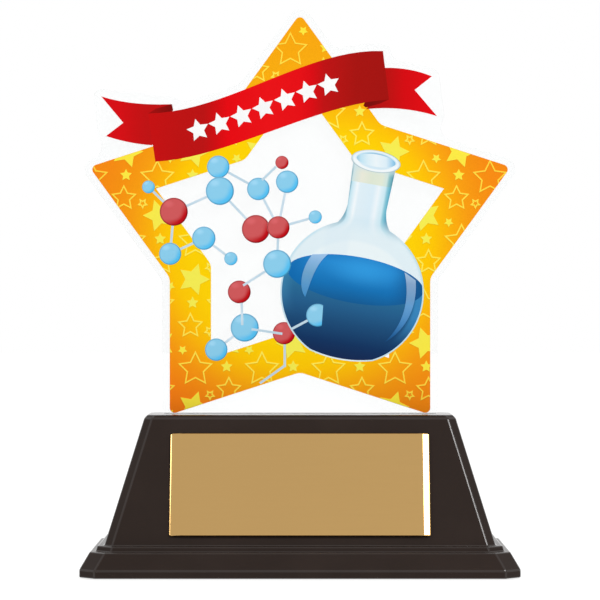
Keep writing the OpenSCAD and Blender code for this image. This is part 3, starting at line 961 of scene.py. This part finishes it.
    def round_edges(self, radius: float, segments: int, test: Callable) -> None:
        """Rounds the edges that pass a test.

        Args:
            radius: how far the rounding reaches.
            segments: how many strips it has.
            test: takes one of the mesh's edges.
        """
        self.pick("EDGE", test)
        bpy.ops.mesh.bevel(offset_type="OFFSET", offset=radius, segments=segments, profile=0.5,
                           affect="EDGES", clamp_overlap=False, miter_outer="SHARP")

    def round_sharp(self, radius: float, segments: int, angle: float) -> None:
        """Rounds every edge that is sharper than an angle, in degrees."""
        self.round_edges(radius, segments, lambda edge: edge.calc_face_angle(0) > math.radians(angle))

    def burnish(self, width: float) -> None:
        """Marks the strips that rounding left along the edges, for a finish that shines there.

        Args:
            width: the strips are narrower than this.
        """
        mesh = bmesh.from_edit_mesh(self.piece.data)
        layer = mesh.faces.layers.float.get(self.BURNISH) or mesh.faces.layers.float.new(self.BURNISH)
        for face in mesh.faces:
            if face.calc_area() * 2 < width * face.calc_perimeter():
                face[layer] = 1.0
        bmesh.update_edit_mesh(self.piece.data)

    def cut(self, tool: "Workpiece", operation: str = "DIFFERENCE") -> None:
        """Cuts with another workpiece, or joins it on, and throws the tool away.

        Args:
            tool: the other workpiece.
            operation: the boolean to make.
        """
        modifier = self.piece.modifiers.new("cut", "BOOLEAN")
        modifier.operation = operation
        modifier.solver = "EXACT"
        modifier.object = tool.piece
        self.apply(modifier)
        bpy.data.objects.remove(tool.piece)

    def _take_up(self) -> None:
        """Makes the piece the only one selected, and the active one."""
        bpy.ops.object.select_all(action="DESELECT")
        self.piece.select_set(True)
        bpy.context.view_layer.objects.active = self.piece

    def apply(self, modifier: bpy.types.Modifier) -> None:
        """Applies a modifier to the piece."""
        self._take_up()
        bpy.ops.object.modifier_apply(modifier=modifier.name)

    def smooth(self, angle: float = 32.0) -> None:
        """Shades the rounded edges smooth and keeps the flats flat.

        Args:
            angle: edges sharper than this stay sharp, in degrees.
        """
        self._take_up()
        bpy.ops.object.shade_smooth_by_angle(angle=math.radians(angle))
        modifier = self.piece.modifiers.new("flats", "WEIGHTED_NORMAL")
        modifier.keep_sharp = True
        self.apply(modifier)

    def copies(self, places: list[Vector]) -> list[bpy.types.Object]:
        """Copies the piece to several places, each copy with its own mesh, and keeps no original.

        Args:
            places: how far each copy is moved.

        Returns:
            The copies, numbered from 1.
        """
        made = []
        for number, place in enumerate(places, 1):
            mesh = self.piece.data.copy()
            mesh.transform(Matrix.Translation(place))
            mesh.name = f"{self.name}_{number}"
            copy = bpy.data.objects.new(mesh.name, mesh)
            bpy.context.scene.collection.objects.link(copy)
            made.append(copy)
        bpy.data.objects.remove(self.piece)
        return made


def copy_of(node: str, name: str) -> Workpiece:
    """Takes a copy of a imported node's shape, with its loose triangles merged into whole faces.

    Args:
        node: the node's name.
        name: what the copy is called.

    Returns:
        The copy, ready to be worked.
    """
    work = Workpiece(name)
    mesh = frame["nodes"][node].data.copy()
    mesh.name = name
    mesh.materials.clear()
    work.piece = bpy.data.objects.new(name, mesh)
    bpy.context.scene.collection.objects.link(work.piece)
    work.edit()
    bpy.ops.mesh.select_all(action="SELECT")
    bpy.ops.mesh.customdata_custom_splitnormals_clear()
    bpy.ops.mesh.remove_doubles(threshold=Workpiece.NEAR)
    bpy.ops.mesh.dissolve_limited(angle_limit=math.radians(0.5))
    work.leave()
    return work


def settle(piece: bpy.types.Object, node: str, finish: Finishes) -> None:
    """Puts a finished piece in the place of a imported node.

    Args:
        piece: the new piece.
        node: the node that it stands for.
        finish: what it is made of.
    """
    dress(piece, finish)
    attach(piece, BODY)
    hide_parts(node)
    LOG.info("%s stands for %s: %d faces", piece.name, node, len(piece.data.polygons))


def keep(node: str, finish: Finishes) -> None:
    """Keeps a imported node's shape and gives it its finish.

    Args:
        node: the node's name.
        finish: what it is made of.
    """
    dress(frame["nodes"][node], finish)
    LOG.info("%s keeps its packed shape, in %s", node, finish.value.name)


def mirrored(corner: Vector, radius: float) -> list[Vector]:
    """The middles of four round pieces that stand in the corners of one box.

    Args:
        corner: the box's highest corner; the box is centred on the upright axis.
        radius: the radius of each piece.

    Returns:
        The four places, at no height.
    """
    x, y = corner.x - radius, corner.y - radius
    return [Vector((i * x, j * y, 0)) for i in (-1, 1) for j in (-1, 1)]


# ---- The base -------------------------------------------------------------------------------


@dataclass
class Base:
    """The moulded base with its cover, screws, feet and ballast."""

    lip_top: float = 2.2 * MM
    rim_top: float = 6.35 * MM
    step_top: float = 7.7 * MM
    rim_in: float = 2.4 * MM
    rim_ledge: float = 1.35 * MM
    step_in: float = 0.35 * MM
    step_ledge: float = 1.7 * MM
    side_lean: float = 9.4 * MM
    front_lean: float = 11.45 * MM
    plinth_chamfer: float = 3.8 * MM
    block_chamfer: float = 1.95 * MM
    top_bevel: float = 0.8 * MM
    wall: float = 2.0 * MM
    cover_shelf: float = 1.4 * MM
    socket_wall: float = 1.8 * MM
    slot_corner: float = 0.25 * MM
    slot_gap: float = 0.15 * MM
    edge_round: float = 0.3 * MM
    edge_strips: int = 2
    boss_radius: float = 3.2 * MM
    boss_height: float = 14 * MM
    rib_thickness: float = 1.6 * MM
    rib_rise: float = 4 * MM
    hole_radius: float = 1.3 * MM
    hole_depth: float = 9 * MM
    head_radius: float = 2.3 * MM
    head_height: float = 1.2 * MM
    core_radius: float = 0.95 * MM
    thread_radius: float = 1.2 * MM
    thread_pitch: float = 0.8 * MM
    cross_reach: float = 1.38 * MM
    cross_width: float = 0.6 * MM
    foot_radius: float = 4 * MM
    foot_dish: float = 0.15 * MM
    running_gap: float = 0.1 * MM

    def __post_init__(self) -> None:
        """Works out the levels, and reads the places of the screws and feet from the frame."""
        self.low, self.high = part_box("base_shell")
        self.rim_x = self.high.x - self.rim_in
        self.rim_y = self.high.y - self.rim_in
        self.step_x = self.rim_x - self.rim_ledge
        self.step_y = self.rim_y - self.rim_ledge
        self.block_x = self.step_x - self.step_in - self.step_ledge
        self.block_y = self.step_y - self.step_in - self.step_ledge
        self.cover_low, self.cover_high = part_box("bottom_cover")
        self.screws_low, self.screws_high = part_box("cover_screws")
        self.screw_places = mirrored(self.screws_high, self.head_radius)
        self.feet_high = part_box("foot_pads")[1]
        self.foot_places = mirrored(self.feet_high, self.foot_radius)
        ballast_low, ballast_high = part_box("ballast_screws")
        self.cover_top = ballast_low.z
        self.post_x = ballast_high.x - self.head_radius
        tab_low, tab_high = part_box("tab_adhesive")
        self.slot_x = tab_high.x + self.slot_gap
        self.slot_y = tab_high.y + self.slot_gap
        self.socket_floor = tab_low.z

    def block_at(self, z: float, inset: float = 0.0) -> tuple[float, float]:
        """The block's half width and half depth at a height.

        Args:
            z: the height.
            inset: how far inside the block's faces.

        Returns:
            Half the width and half the depth.
        """
        share = (z - self.step_top) / (self.high.z - self.step_top)
        return self.block_x - inset - self.side_lean * share, self.block_y - inset - self.front_lean * share

    def build_shell(self) -> Workpiece:
        """Models the shell: stepped outside, rounded edges, slot, hollow underside and screw bosses.

        Returns:
            The shell.
        """
        lip = Vector((self.high.x, self.high.y, self.lip_top))
        shell = Workpiece("moulded_base").block(self.low, lip)
        shell.edit()
        self._raise_outside(shell)
        shell.round_sharp(self.edge_round, self.edge_strips, 12)
        shell.burnish(self.edge_round)
        shell.step(self.high.z, self.high.z, self.slot_x, self.slot_y, self.slot_corner)
        shell.step(self.high.z, self.socket_floor, self.slot_x, self.slot_y, self.slot_corner)
        self._sink_hollow(shell)
        shell.leave()
        for place in self.screw_places:
            self._add_boss(shell, place)
        shell.smooth(8)
        return shell

    def _raise_outside(self, shell: Workpiece) -> None:
        """Cuts the plinth's corners and raises its levels and the block from it."""
        shell.chamfer_uprights(self.plinth_chamfer)
        top = self.high.z - self.top_bevel
        top_x, top_y = self.block_at(top)
        z = self.lip_top
        for next_z, x, y, chamfer in (
                (self.rim_top, self.rim_x, self.rim_y, self.plinth_chamfer),
                (self.rim_top, self.step_x, self.step_y, self.plinth_chamfer),
                (self.step_top, self.step_x - self.step_in, self.step_y - self.step_in, self.plinth_chamfer),
                (self.step_top, self.block_x, self.block_y, self.block_chamfer),
                (top, top_x, top_y, self.block_chamfer),
                (self.high.z, top_x - self.top_bevel, top_y - self.top_bevel, self.block_chamfer)):
            shell.step(z, next_z, x, y, chamfer)
            z = next_z

    def _sink_hollow(self, shell: Workpiece) -> None:
        """Sinks the cover's recess and the hollow into the underside, around the slot's socket."""
        recess_x = self.high.x - self.wall
        recess_y = self.high.y - self.wall
        shelf_x = min(recess_x - self.cover_shelf, self.rim_x - self.wall)
        shelf_y = min(recess_y - self.cover_shelf, self.rim_y - self.wall)
        knee = self.rim_top - self.wall / 2
        roof = self.high.z - self.wall
        roof_x, roof_y = self.block_at(roof, self.wall)
        socket_x = self.slot_x + self.socket_wall
        socket_y = self.slot_y + self.socket_wall
        z = self.low.z
        for next_z, x, y, chamfer in (
                (self.low.z, recess_x, recess_y, self.plinth_chamfer),
                (self.cover_top, recess_x, recess_y, self.plinth_chamfer),
                (self.cover_top, shelf_x, shelf_y, self.block_chamfer),
                (knee, self.block_x - self.wall, self.block_y - self.wall, self.block_chamfer),
                (roof, roof_x, roof_y, self.block_chamfer),
                (roof, socket_x, socket_y, self.slot_corner),
                (self.socket_floor - self.socket_wall, socket_x, socket_y, self.slot_corner)):
            shell.step(z, next_z, x, y, chamfer, facing=-1)
            z = next_z

    def _add_boss(self, shell: Workpiece, place: Vector) -> None:
        """Joins a drilled screw boss and the rib that carries it to the wall.

        Args:
            shell: the shell.
            place: the boss's place.
        """
        foot = self.cover_top
        boss = Workpiece("boss").rod(place, self.boss_radius, foot, foot + self.boss_height)
        shell.cut(boss, "UNION")
        crown = foot + self.boss_height + self.rib_rise
        wall_foot = self.block_at(foot, self.wall / 2)[1]
        wall_crown = self.block_at(crown, self.wall / 2)[1]
        side = math.copysign(1, place.y)
        ends = sorted((side * abs(place.y), side * wall_foot))
        half = self.rib_thickness / 2
        low = Vector((place.x - half, ends[0], foot))
        high = Vector((place.x + half, ends[1], crown))
        rib = Workpiece("rib").block(low, high)
        rib.edit()
        rib.pick("VERT", lambda v: v.co.z > crown - MM and abs(v.co.y) > abs(place.y) + MM)
        bpy.ops.transform.translate(value=(0, side * (wall_crown - wall_foot), 0))
        rib.leave()
        shell.cut(rib, "UNION")
        self._drill(shell, place, foot - MM, foot + self.hole_depth)

    def _drill(self, work: Workpiece, place: Vector, z_low: float, z_high: float) -> None:
        """Drills an upright screw hole between two heights."""
        work.cut(Workpiece("drill").rod(place, self.hole_radius, z_low, z_high, sides=32))

    def build_cover(self) -> Workpiece:
        """Models the bottom cover, with its recesses, screw holes and posts.

        Returns:
            The cover.
        """
        top = Vector((self.cover_high.x, self.cover_high.y, self.cover_top))
        cover = Workpiece("underside_cover").block(self.cover_low, top)
        cover.edit()
        cover.chamfer_uprights(self.plinth_chamfer)
        cover.round_sharp(2 * self.running_gap, 2, 60)
        cover.leave()
        below = self.cover_low.z - MM
        recess = self.foot_radius + self.running_gap
        for place in self.foot_places:
            cover.cut(Workpiece("recess").rod(place, recess, below, self.feet_high.z))
        seat = self.head_radius + self.running_gap
        head_top = self.screws_low.z + self.head_height + self.running_gap
        for place in self.screw_places:
            cover.cut(Workpiece("seat").rod(place, seat, below, head_top))
            self._drill(cover, place, below, self.cover_top + MM)
        root = self.cover_top - MM / 2
        for x in (-self.post_x, self.post_x):
            place = Vector((x, 0, 0))
            cover.cut(Workpiece("post").rod(place, self.boss_radius, root, self.cover_high.z), "UNION")
            self._drill(cover, place, root, self.cover_high.z + MM)
        cover.smooth()
        return cover

    def build_screw(self) -> Workpiece:
        """Models one screw at the middle: a domed head with a cross recess, and a threaded shank.

        Returns:
            The screw.
        """
        head_low = self.screws_low.z
        head_top = head_low + self.head_height
        tip = self.screws_high.z
        screw = Workpiece("cover_screw").rod(Vector(), self.head_radius, head_low, head_top)
        screw.edit()
        screw.round_edges(self.head_height * 0.45, 5,
                          lambda e: max(v.co.z for v in e.verts) < head_low + screw.NEAR)
        screw.pick_level(head_top, 1)
        bpy.ops.mesh.inset(thickness=self.head_radius - self.core_radius)
        turns = int((tip - head_top) / self.thread_pitch) - 1
        swell = self.thread_radius / self.core_radius
        for _ in range(turns):
            screw.swell(self.thread_pitch * 0.3, 1.0)
            screw.swell(self.thread_pitch * 0.35, swell)
            screw.swell(self.thread_pitch * 0.35, 1 / swell)
        screw.swell(tip - head_top - turns * self.thread_pitch, 0.35)
        screw.leave()
        top = head_low + self.head_height / 2
        for x, y in ((self.cross_reach, self.cross_width / 2), (self.cross_width / 2, self.cross_reach)):
            screw.cut(Workpiece("bit").block(Vector((-x, -y, head_low - MM)), Vector((x, y, top))))
        screw.smooth()
        return screw

    def build_foot(self) -> Workpiece:
        """Models one foot pad at the middle: rounded, with a shallow dish underneath.

        Returns:
            The foot pad.
        """
        foot = Workpiece("foot_pad").rod(Vector(), self.foot_radius, 0, self.feet_high.z, sides=64)
        foot.edit()
        foot.round_sharp(self.feet_high.z * 0.3, 4, 60)
        foot.pick_level(0, -1)
        bpy.ops.mesh.inset(thickness=self.foot_radius * 0.25)
        bpy.ops.mesh.inset(thickness=self.foot_dish, depth=-self.foot_dish)
        foot.leave()
        foot.smooth()
        return foot

    def dress(self) -> None:
        """Builds the new pieces, puts each in its node's place, and finishes the ones that stay."""
        settle(self.build_shell().piece, "base_shell", Finishes.BASE)
        settle(self.build_cover().piece, "bottom_cover", Finishes.COVER)
        for screw in self.build_screw().copies(self.screw_places):
            settle(screw, "cover_screws", Finishes.SCREW)
        for foot in self.build_foot().copies(self.foot_places):
            settle(foot, "foot_pads", Finishes.FOOT)
        keep("ballast_plate", Finishes.BALLAST)
        keep("ballast_screws", Finishes.SCREW)


# ---- The engraving plate --------------------------------------------------------------------


@dataclass
class EngravingPlate:
    """The blank gold plate on the base's front slope."""

    width: float = 63.5 * MM
    height: float = 26 * MM
    thickness: float = 0.8 * MM
    strips: tuple[tuple[float, float], ...] = ((0.18 * MM, 4.5), (1.32 * MM, 9.6), (0.2 * MM, 25.0))
    edge_round: float = 0.1 * MM
    corner: float = 0.2 * MM

    def _profile(self) -> list[tuple[float, float]]:
        """Works out how the face falls away to the plate's sheared ends, in strips of a width and a slope.

        Returns:
            For each line between strips, how far in from the end and how far below the face.
        """
        inset = sum(width for width, _ in self.strips)
        fall = 0.0
        lines = [(inset, fall)]
        for width, slope in self.strips:
            inset -= width
            fall += width * math.tan(math.radians(slope))
            lines.append((inset, fall))
        return lines

    def build(self) -> Workpiece:
        """Models the plate lying flat, rolls its ends over, and tilts it onto the slope.

        Returns:
            The plate.
        """
        x = self.width / 2
        y = self.height / 2
        lines = self._profile()
        drop = lines[-1][1]
        plate = Workpiece("gold_plate").block(Vector((-x, -y, -self.thickness)), Vector((x, y, -drop)))
        plate.edit()
        plate.chamfer_uprights(self.corner)
        for (_, low), (inset, high) in zip(reversed(lines), list(reversed(lines))[1:]):
            plate.step(-low, -high, x - inset, y, self.corner)
        plate.round_edges(self.edge_round, 2, lambda e: abs(abs(e.verts[0].co.y) - y) < plate.NEAR
                          and abs(e.verts[0].co.y - e.verts[1].co.y) < plate.NEAR
                          and min(v.co.z for v in e.verts) > -drop - plate.NEAR)
        plate.leave()
        face = next(m for m in frame["record"]["mounts"] if m["name"] == "engraving_face")
        out = Vector(face["axis"])
        up = out.cross(Vector((1, 0, 0))).normalized()
        turn = Matrix((Vector((1, 0, 0)), up, out)).transposed().to_4x4()
        plate.piece.data.transform(Matrix.Translation(Vector(face["pos_m"])) @ turn)
        plate.smooth(4)
        return plate

    def dress(self) -> None:
        """Puts the plate in place and finishes its tape."""
        settle(self.build().piece, "engraving_plate", Finishes.GOLD)
        keep("plate_tape", Finishes.TAPE)


# ---- The acrylic ----------------------------------------------------------------------------


@dataclass
class AcrylicPlate:
    """The clear plate, cut round the print, that stands in the base's slot."""

    polish: float = 0.18 * MM
    polish_strips: int = 2
    print_gap: float = 0.02 * MM

    def build(self) -> Workpiece:
        """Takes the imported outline, clears the print by a hair and polishes the edges round.

        Returns:
            The plate.
        """
        plate = copy_of("acrylic_plate", "clear_star_plate")
        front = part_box("acrylic_plate")[0].y
        plate.edit()
        plate.pick("VERT", lambda v: v.co.y < front + plate.NEAR)
        bpy.ops.transform.translate(value=(0, self.print_gap, 0))
        plate.leave()
        modifier = plate.piece.modifiers.new("polish", "BEVEL")
        modifier.width = self.polish
        modifier.segments = self.polish_strips
        modifier.limit_method = "ANGLE"
        modifier.angle_limit = math.radians(60)
        plate.apply(modifier)
        plate.smooth(40)
        return plate

    def dress(self) -> None:
        """Puts the plate in place and finishes the adhesive under its tab."""
        settle(self.build().piece, "acrylic_plate", Finishes.ACRYLIC)
        keep("tab_adhesive", Finishes.ADHESIVE)


# ---- The print ------------------------------------------------------------------------------


class Atoms:
    """The drawn balls of one colour, each with a map about its own centre to shade it by."""

    MAP = "ball"
    FIT = 0.01
    FEWEST = 8

    def __init__(self, node: str, name: str) -> None:
        """Copies the balls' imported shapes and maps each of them.

        Args:
            node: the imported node.
            name: what the new piece is called.
        """
        self.work = copy_of(node, name)
        mesh = bmesh.new()
        mesh.from_mesh(self.work.piece.data)
        layer = mesh.loops.layers.uv.new(self.MAP)
        self.count = 0
        waiting = set(mesh.verts)
        while waiting:
            island = self._island(waiting.pop())
            waiting -= island
            self._map(island, layer)
            self.count += 1
        mesh.to_mesh(self.work.piece.data)
        mesh.free()
        LOG.info("%s: %d balls and parts of balls", name, self.count)

    @staticmethod
    def _island(start: bmesh.types.BMVert) -> set[bmesh.types.BMVert]:
        """All the vertices that are joined to one.

        Args:
            start: the vertex to start from.

        Returns:
            The vertices.
        """
        found = {start}
        edge_of_search = [start]
        while edge_of_search:
            for edge in edge_of_search.pop().link_edges:
                for vertex in edge.verts:
                    if vertex not in found:
                        found.add(vertex)
                        edge_of_search.append(vertex)
        return found

    def _map(self, island: set[bmesh.types.BMVert], layer: bmesh.types.BMLayerItem) -> None:
        """Maps an island so that its own circle fills the map.

        Args:
            island: the ball's vertices.
            layer: the map.
        """
        x, z, radius = self._circle(np.array([(v.co.x / MM, v.co.z / MM) for v in island]))
        for vertex in island:
            across = (vertex.co.x / MM - x) / radius
            up = (vertex.co.z / MM - z) / radius
            for loop in vertex.link_loops:
                loop[layer].uv = (across / 2 + 0.5, up / 2 + 0.5)

    def _circle(self, points: np.ndarray) -> tuple[float, float, float]:
        """Fits a circle, leaving out the points where something else cuts into the ball.

        Args:
            points: places across and up, in millimetres.

        Returns:
            The centre and the radius.
        """
        while True:
            rows = np.column_stack((2 * points, np.ones(len(points))))
            (x, z, rest), *_ = np.linalg.lstsq(rows, (points ** 2).sum(1), rcond=None)
            radius = math.sqrt(rest + x * x + z * z)
            miss = abs(np.hypot(points[:, 0] - x, points[:, 1] - z) - radius)
            if miss.max() < self.FIT or len(points) <= self.FEWEST:
                return x, z, radius
            points = np.delete(points, miss.argmax(), axis=0)


class Print:
    """All that is printed on the acrylic."""

    KEPT: ClassVar[dict[str, Finishes]] = {
        "white_underprint": Finishes.WHITE,
        "star_border_print": Finishes.BORDER,
        "border_outline_stars": Finishes.OUTLINED,
        "border_filled_stars": Finishes.FILLED,
        "ribbon_band": Finishes.BAND,
        "ribbon_left_tail": Finishes.LEFT_TAIL,
        "ribbon_right_tail": Finishes.RIGHT_TAIL,
        "ribbon_folds": Finishes.FOLDS,
        "ribbon_stars": Finishes.WHITE,
        "molecule_bonds": Finishes.BOND,
        "flask_glass": Finishes.GLASS,
        "flask_neck_shade": Finishes.NECK_SHADE,
        "flask_rim": Finishes.RIM,
        "flask_mouth": Finishes.MOUTH,
        "flask_liquid": Finishes.LIQUID,
        "flask_liquid_surface": Finishes.SURFACE,
        "flask_highlights": Finishes.STREAK,
    }

    def dress(self) -> None:
        """Inks every printed node, and maps the balls."""
        for node, finish in self.KEPT.items():
            keep(node, finish)
        settle(Atoms("blue_atoms", "blue_balls").work.piece, "blue_atoms", Finishes.BLUE)
        settle(Atoms("red_atoms", "red_balls").work.piece, "red_atoms", Finishes.RED)


# ---- The set --------------------------------------------------------------------------------


@dataclass(frozen=True)
class Lamp:
    """A square lamp that looks at the trophy: its side is in metres and its power in watts."""

    name: str
    place: tuple[float, float, float]
    size: float
    power: float
    aim: tuple[float, float, float] = (0, 0, 0.04)

    def hang(self) -> None:
        """Hangs the lamp in its place, turned to what it lights."""
        lamp = bpy.data.lights.new(self.name, "AREA")
        lamp.size = self.size
        lamp.energy = self.power
        holder = bpy.data.objects.new(self.name, lamp)
        holder.location = self.place
        way = Vector(self.aim) - Vector(self.place)
        holder.rotation_euler = way.to_track_quat("-Z", "Y").to_euler()
        bpy.context.scene.collection.objects.link(holder)


@dataclass
class Studio:
    """The plain pale set: a floor, white surroundings, two lamps and the camera."""

    LAMPS: ClassVar[tuple[Lamp, ...]] = (Lamp("key_lamp", (0.46, -0.76, 0.72), 0.3, 4.45),
                                         Lamp("left_lamp", (-0.78, -0.5, 0.62), 0.25, 1.5))

    eye: Vector = field(default_factory=lambda: Vector((0, -0.7377, 0.06755)))
    lens: float = 177
    ambient: float = 0.6
    floor_size: float = 6
    floor_bounce: float = 0.8
    floor_seen: float = 0.4
    floor_glow: float = 0.8

    @staticmethod
    def seen(graph: Graph) -> Wire:
        """One for rays that look: from the camera, by reflection or through glass.

        Args:
            graph: the floor's or the world's graph.

        Returns:
            One or nought.
        """
        rays = [graph.add("ShaderNodeLightPath", output=f"Is {kind} Ray")
                for kind in ("Camera", "Glossy", "Transmission")]
        return (rays[0] + rays[1] + rays[2]).above(0.5)

    def build_camera(self) -> None:
        """Sets the camera level, in front of the trophy."""
        camera = bpy.data.objects.new("camera", bpy.data.cameras.new("camera"))
        camera.data.lens = self.lens
        camera.location = self.eye
        camera.rotation_euler = (math.radians(90), 0, 0)
        bpy.context.scene.collection.objects.link(camera)
        bpy.context.scene.camera = camera

    def build_floor(self) -> None:
        """Lays the white floor, which keeps a soft shadow."""
        bpy.ops.object.select_all(action="DESELECT")
        bpy.ops.mesh.primitive_plane_add(size=self.floor_size)
        floor = bpy.context.active_object
        floor.name = "floor"
        made = bpy.data.materials.new("floor_white")
        made.use_nodes = True
        graph = Graph(made.node_tree)
        seen = self.seen(graph)
        bounce, shown = ((grey, grey, grey, 1) for grey in (self.floor_bounce, self.floor_seen))
        paint = graph.add("ShaderNodeBsdfDiffuse", inputs={"Color": graph.blend(seen, bounce, shown)})
        glow = graph.add("ShaderNodeEmission", inputs={"Strength": seen * self.floor_glow})
        both = graph.add("ShaderNodeAddShader", inputs={0: paint, 1: glow})
        graph.add("ShaderNodeOutputMaterial", inputs={"Surface": both})
        floor.data.materials.append(made)

    def build_surroundings(self) -> None:
        """Makes the surroundings white to look at, and a soft light on the trophy."""
        world = bpy.data.worlds.new("surroundings")
        bpy.context.scene.world = world
        world.use_nodes = True
        graph = Graph(world.node_tree)
        strength = self.ambient + self.seen(graph) * (1 - self.ambient)
        sky = graph.add("ShaderNodeBackground", inputs={"Color": (1, 1, 1, 1), "Strength": strength})
        graph.add("ShaderNodeOutputWorld", inputs={"Surface": sky})

    def build(self) -> None:
        """Builds the whole set."""
        self.build_camera()
        self.build_surroundings()
        self.build_floor()
        for lamp in self.LAMPS:
            lamp.hang()
        bpy.context.scene.view_settings.view_transform = "Standard"
        LOG.info("the set is built")


def main() -> None:
    """Builds the set and every part of the trophy."""
    logging.basicConfig(level=logging.INFO, format="%(name)s: %(message)s")
    Studio().build()
    Base().dress()
    EngravingPlate().dress()
    AcrylicPlate().dress()
    Print().dress()


if __name__ == "__main__":
    main()
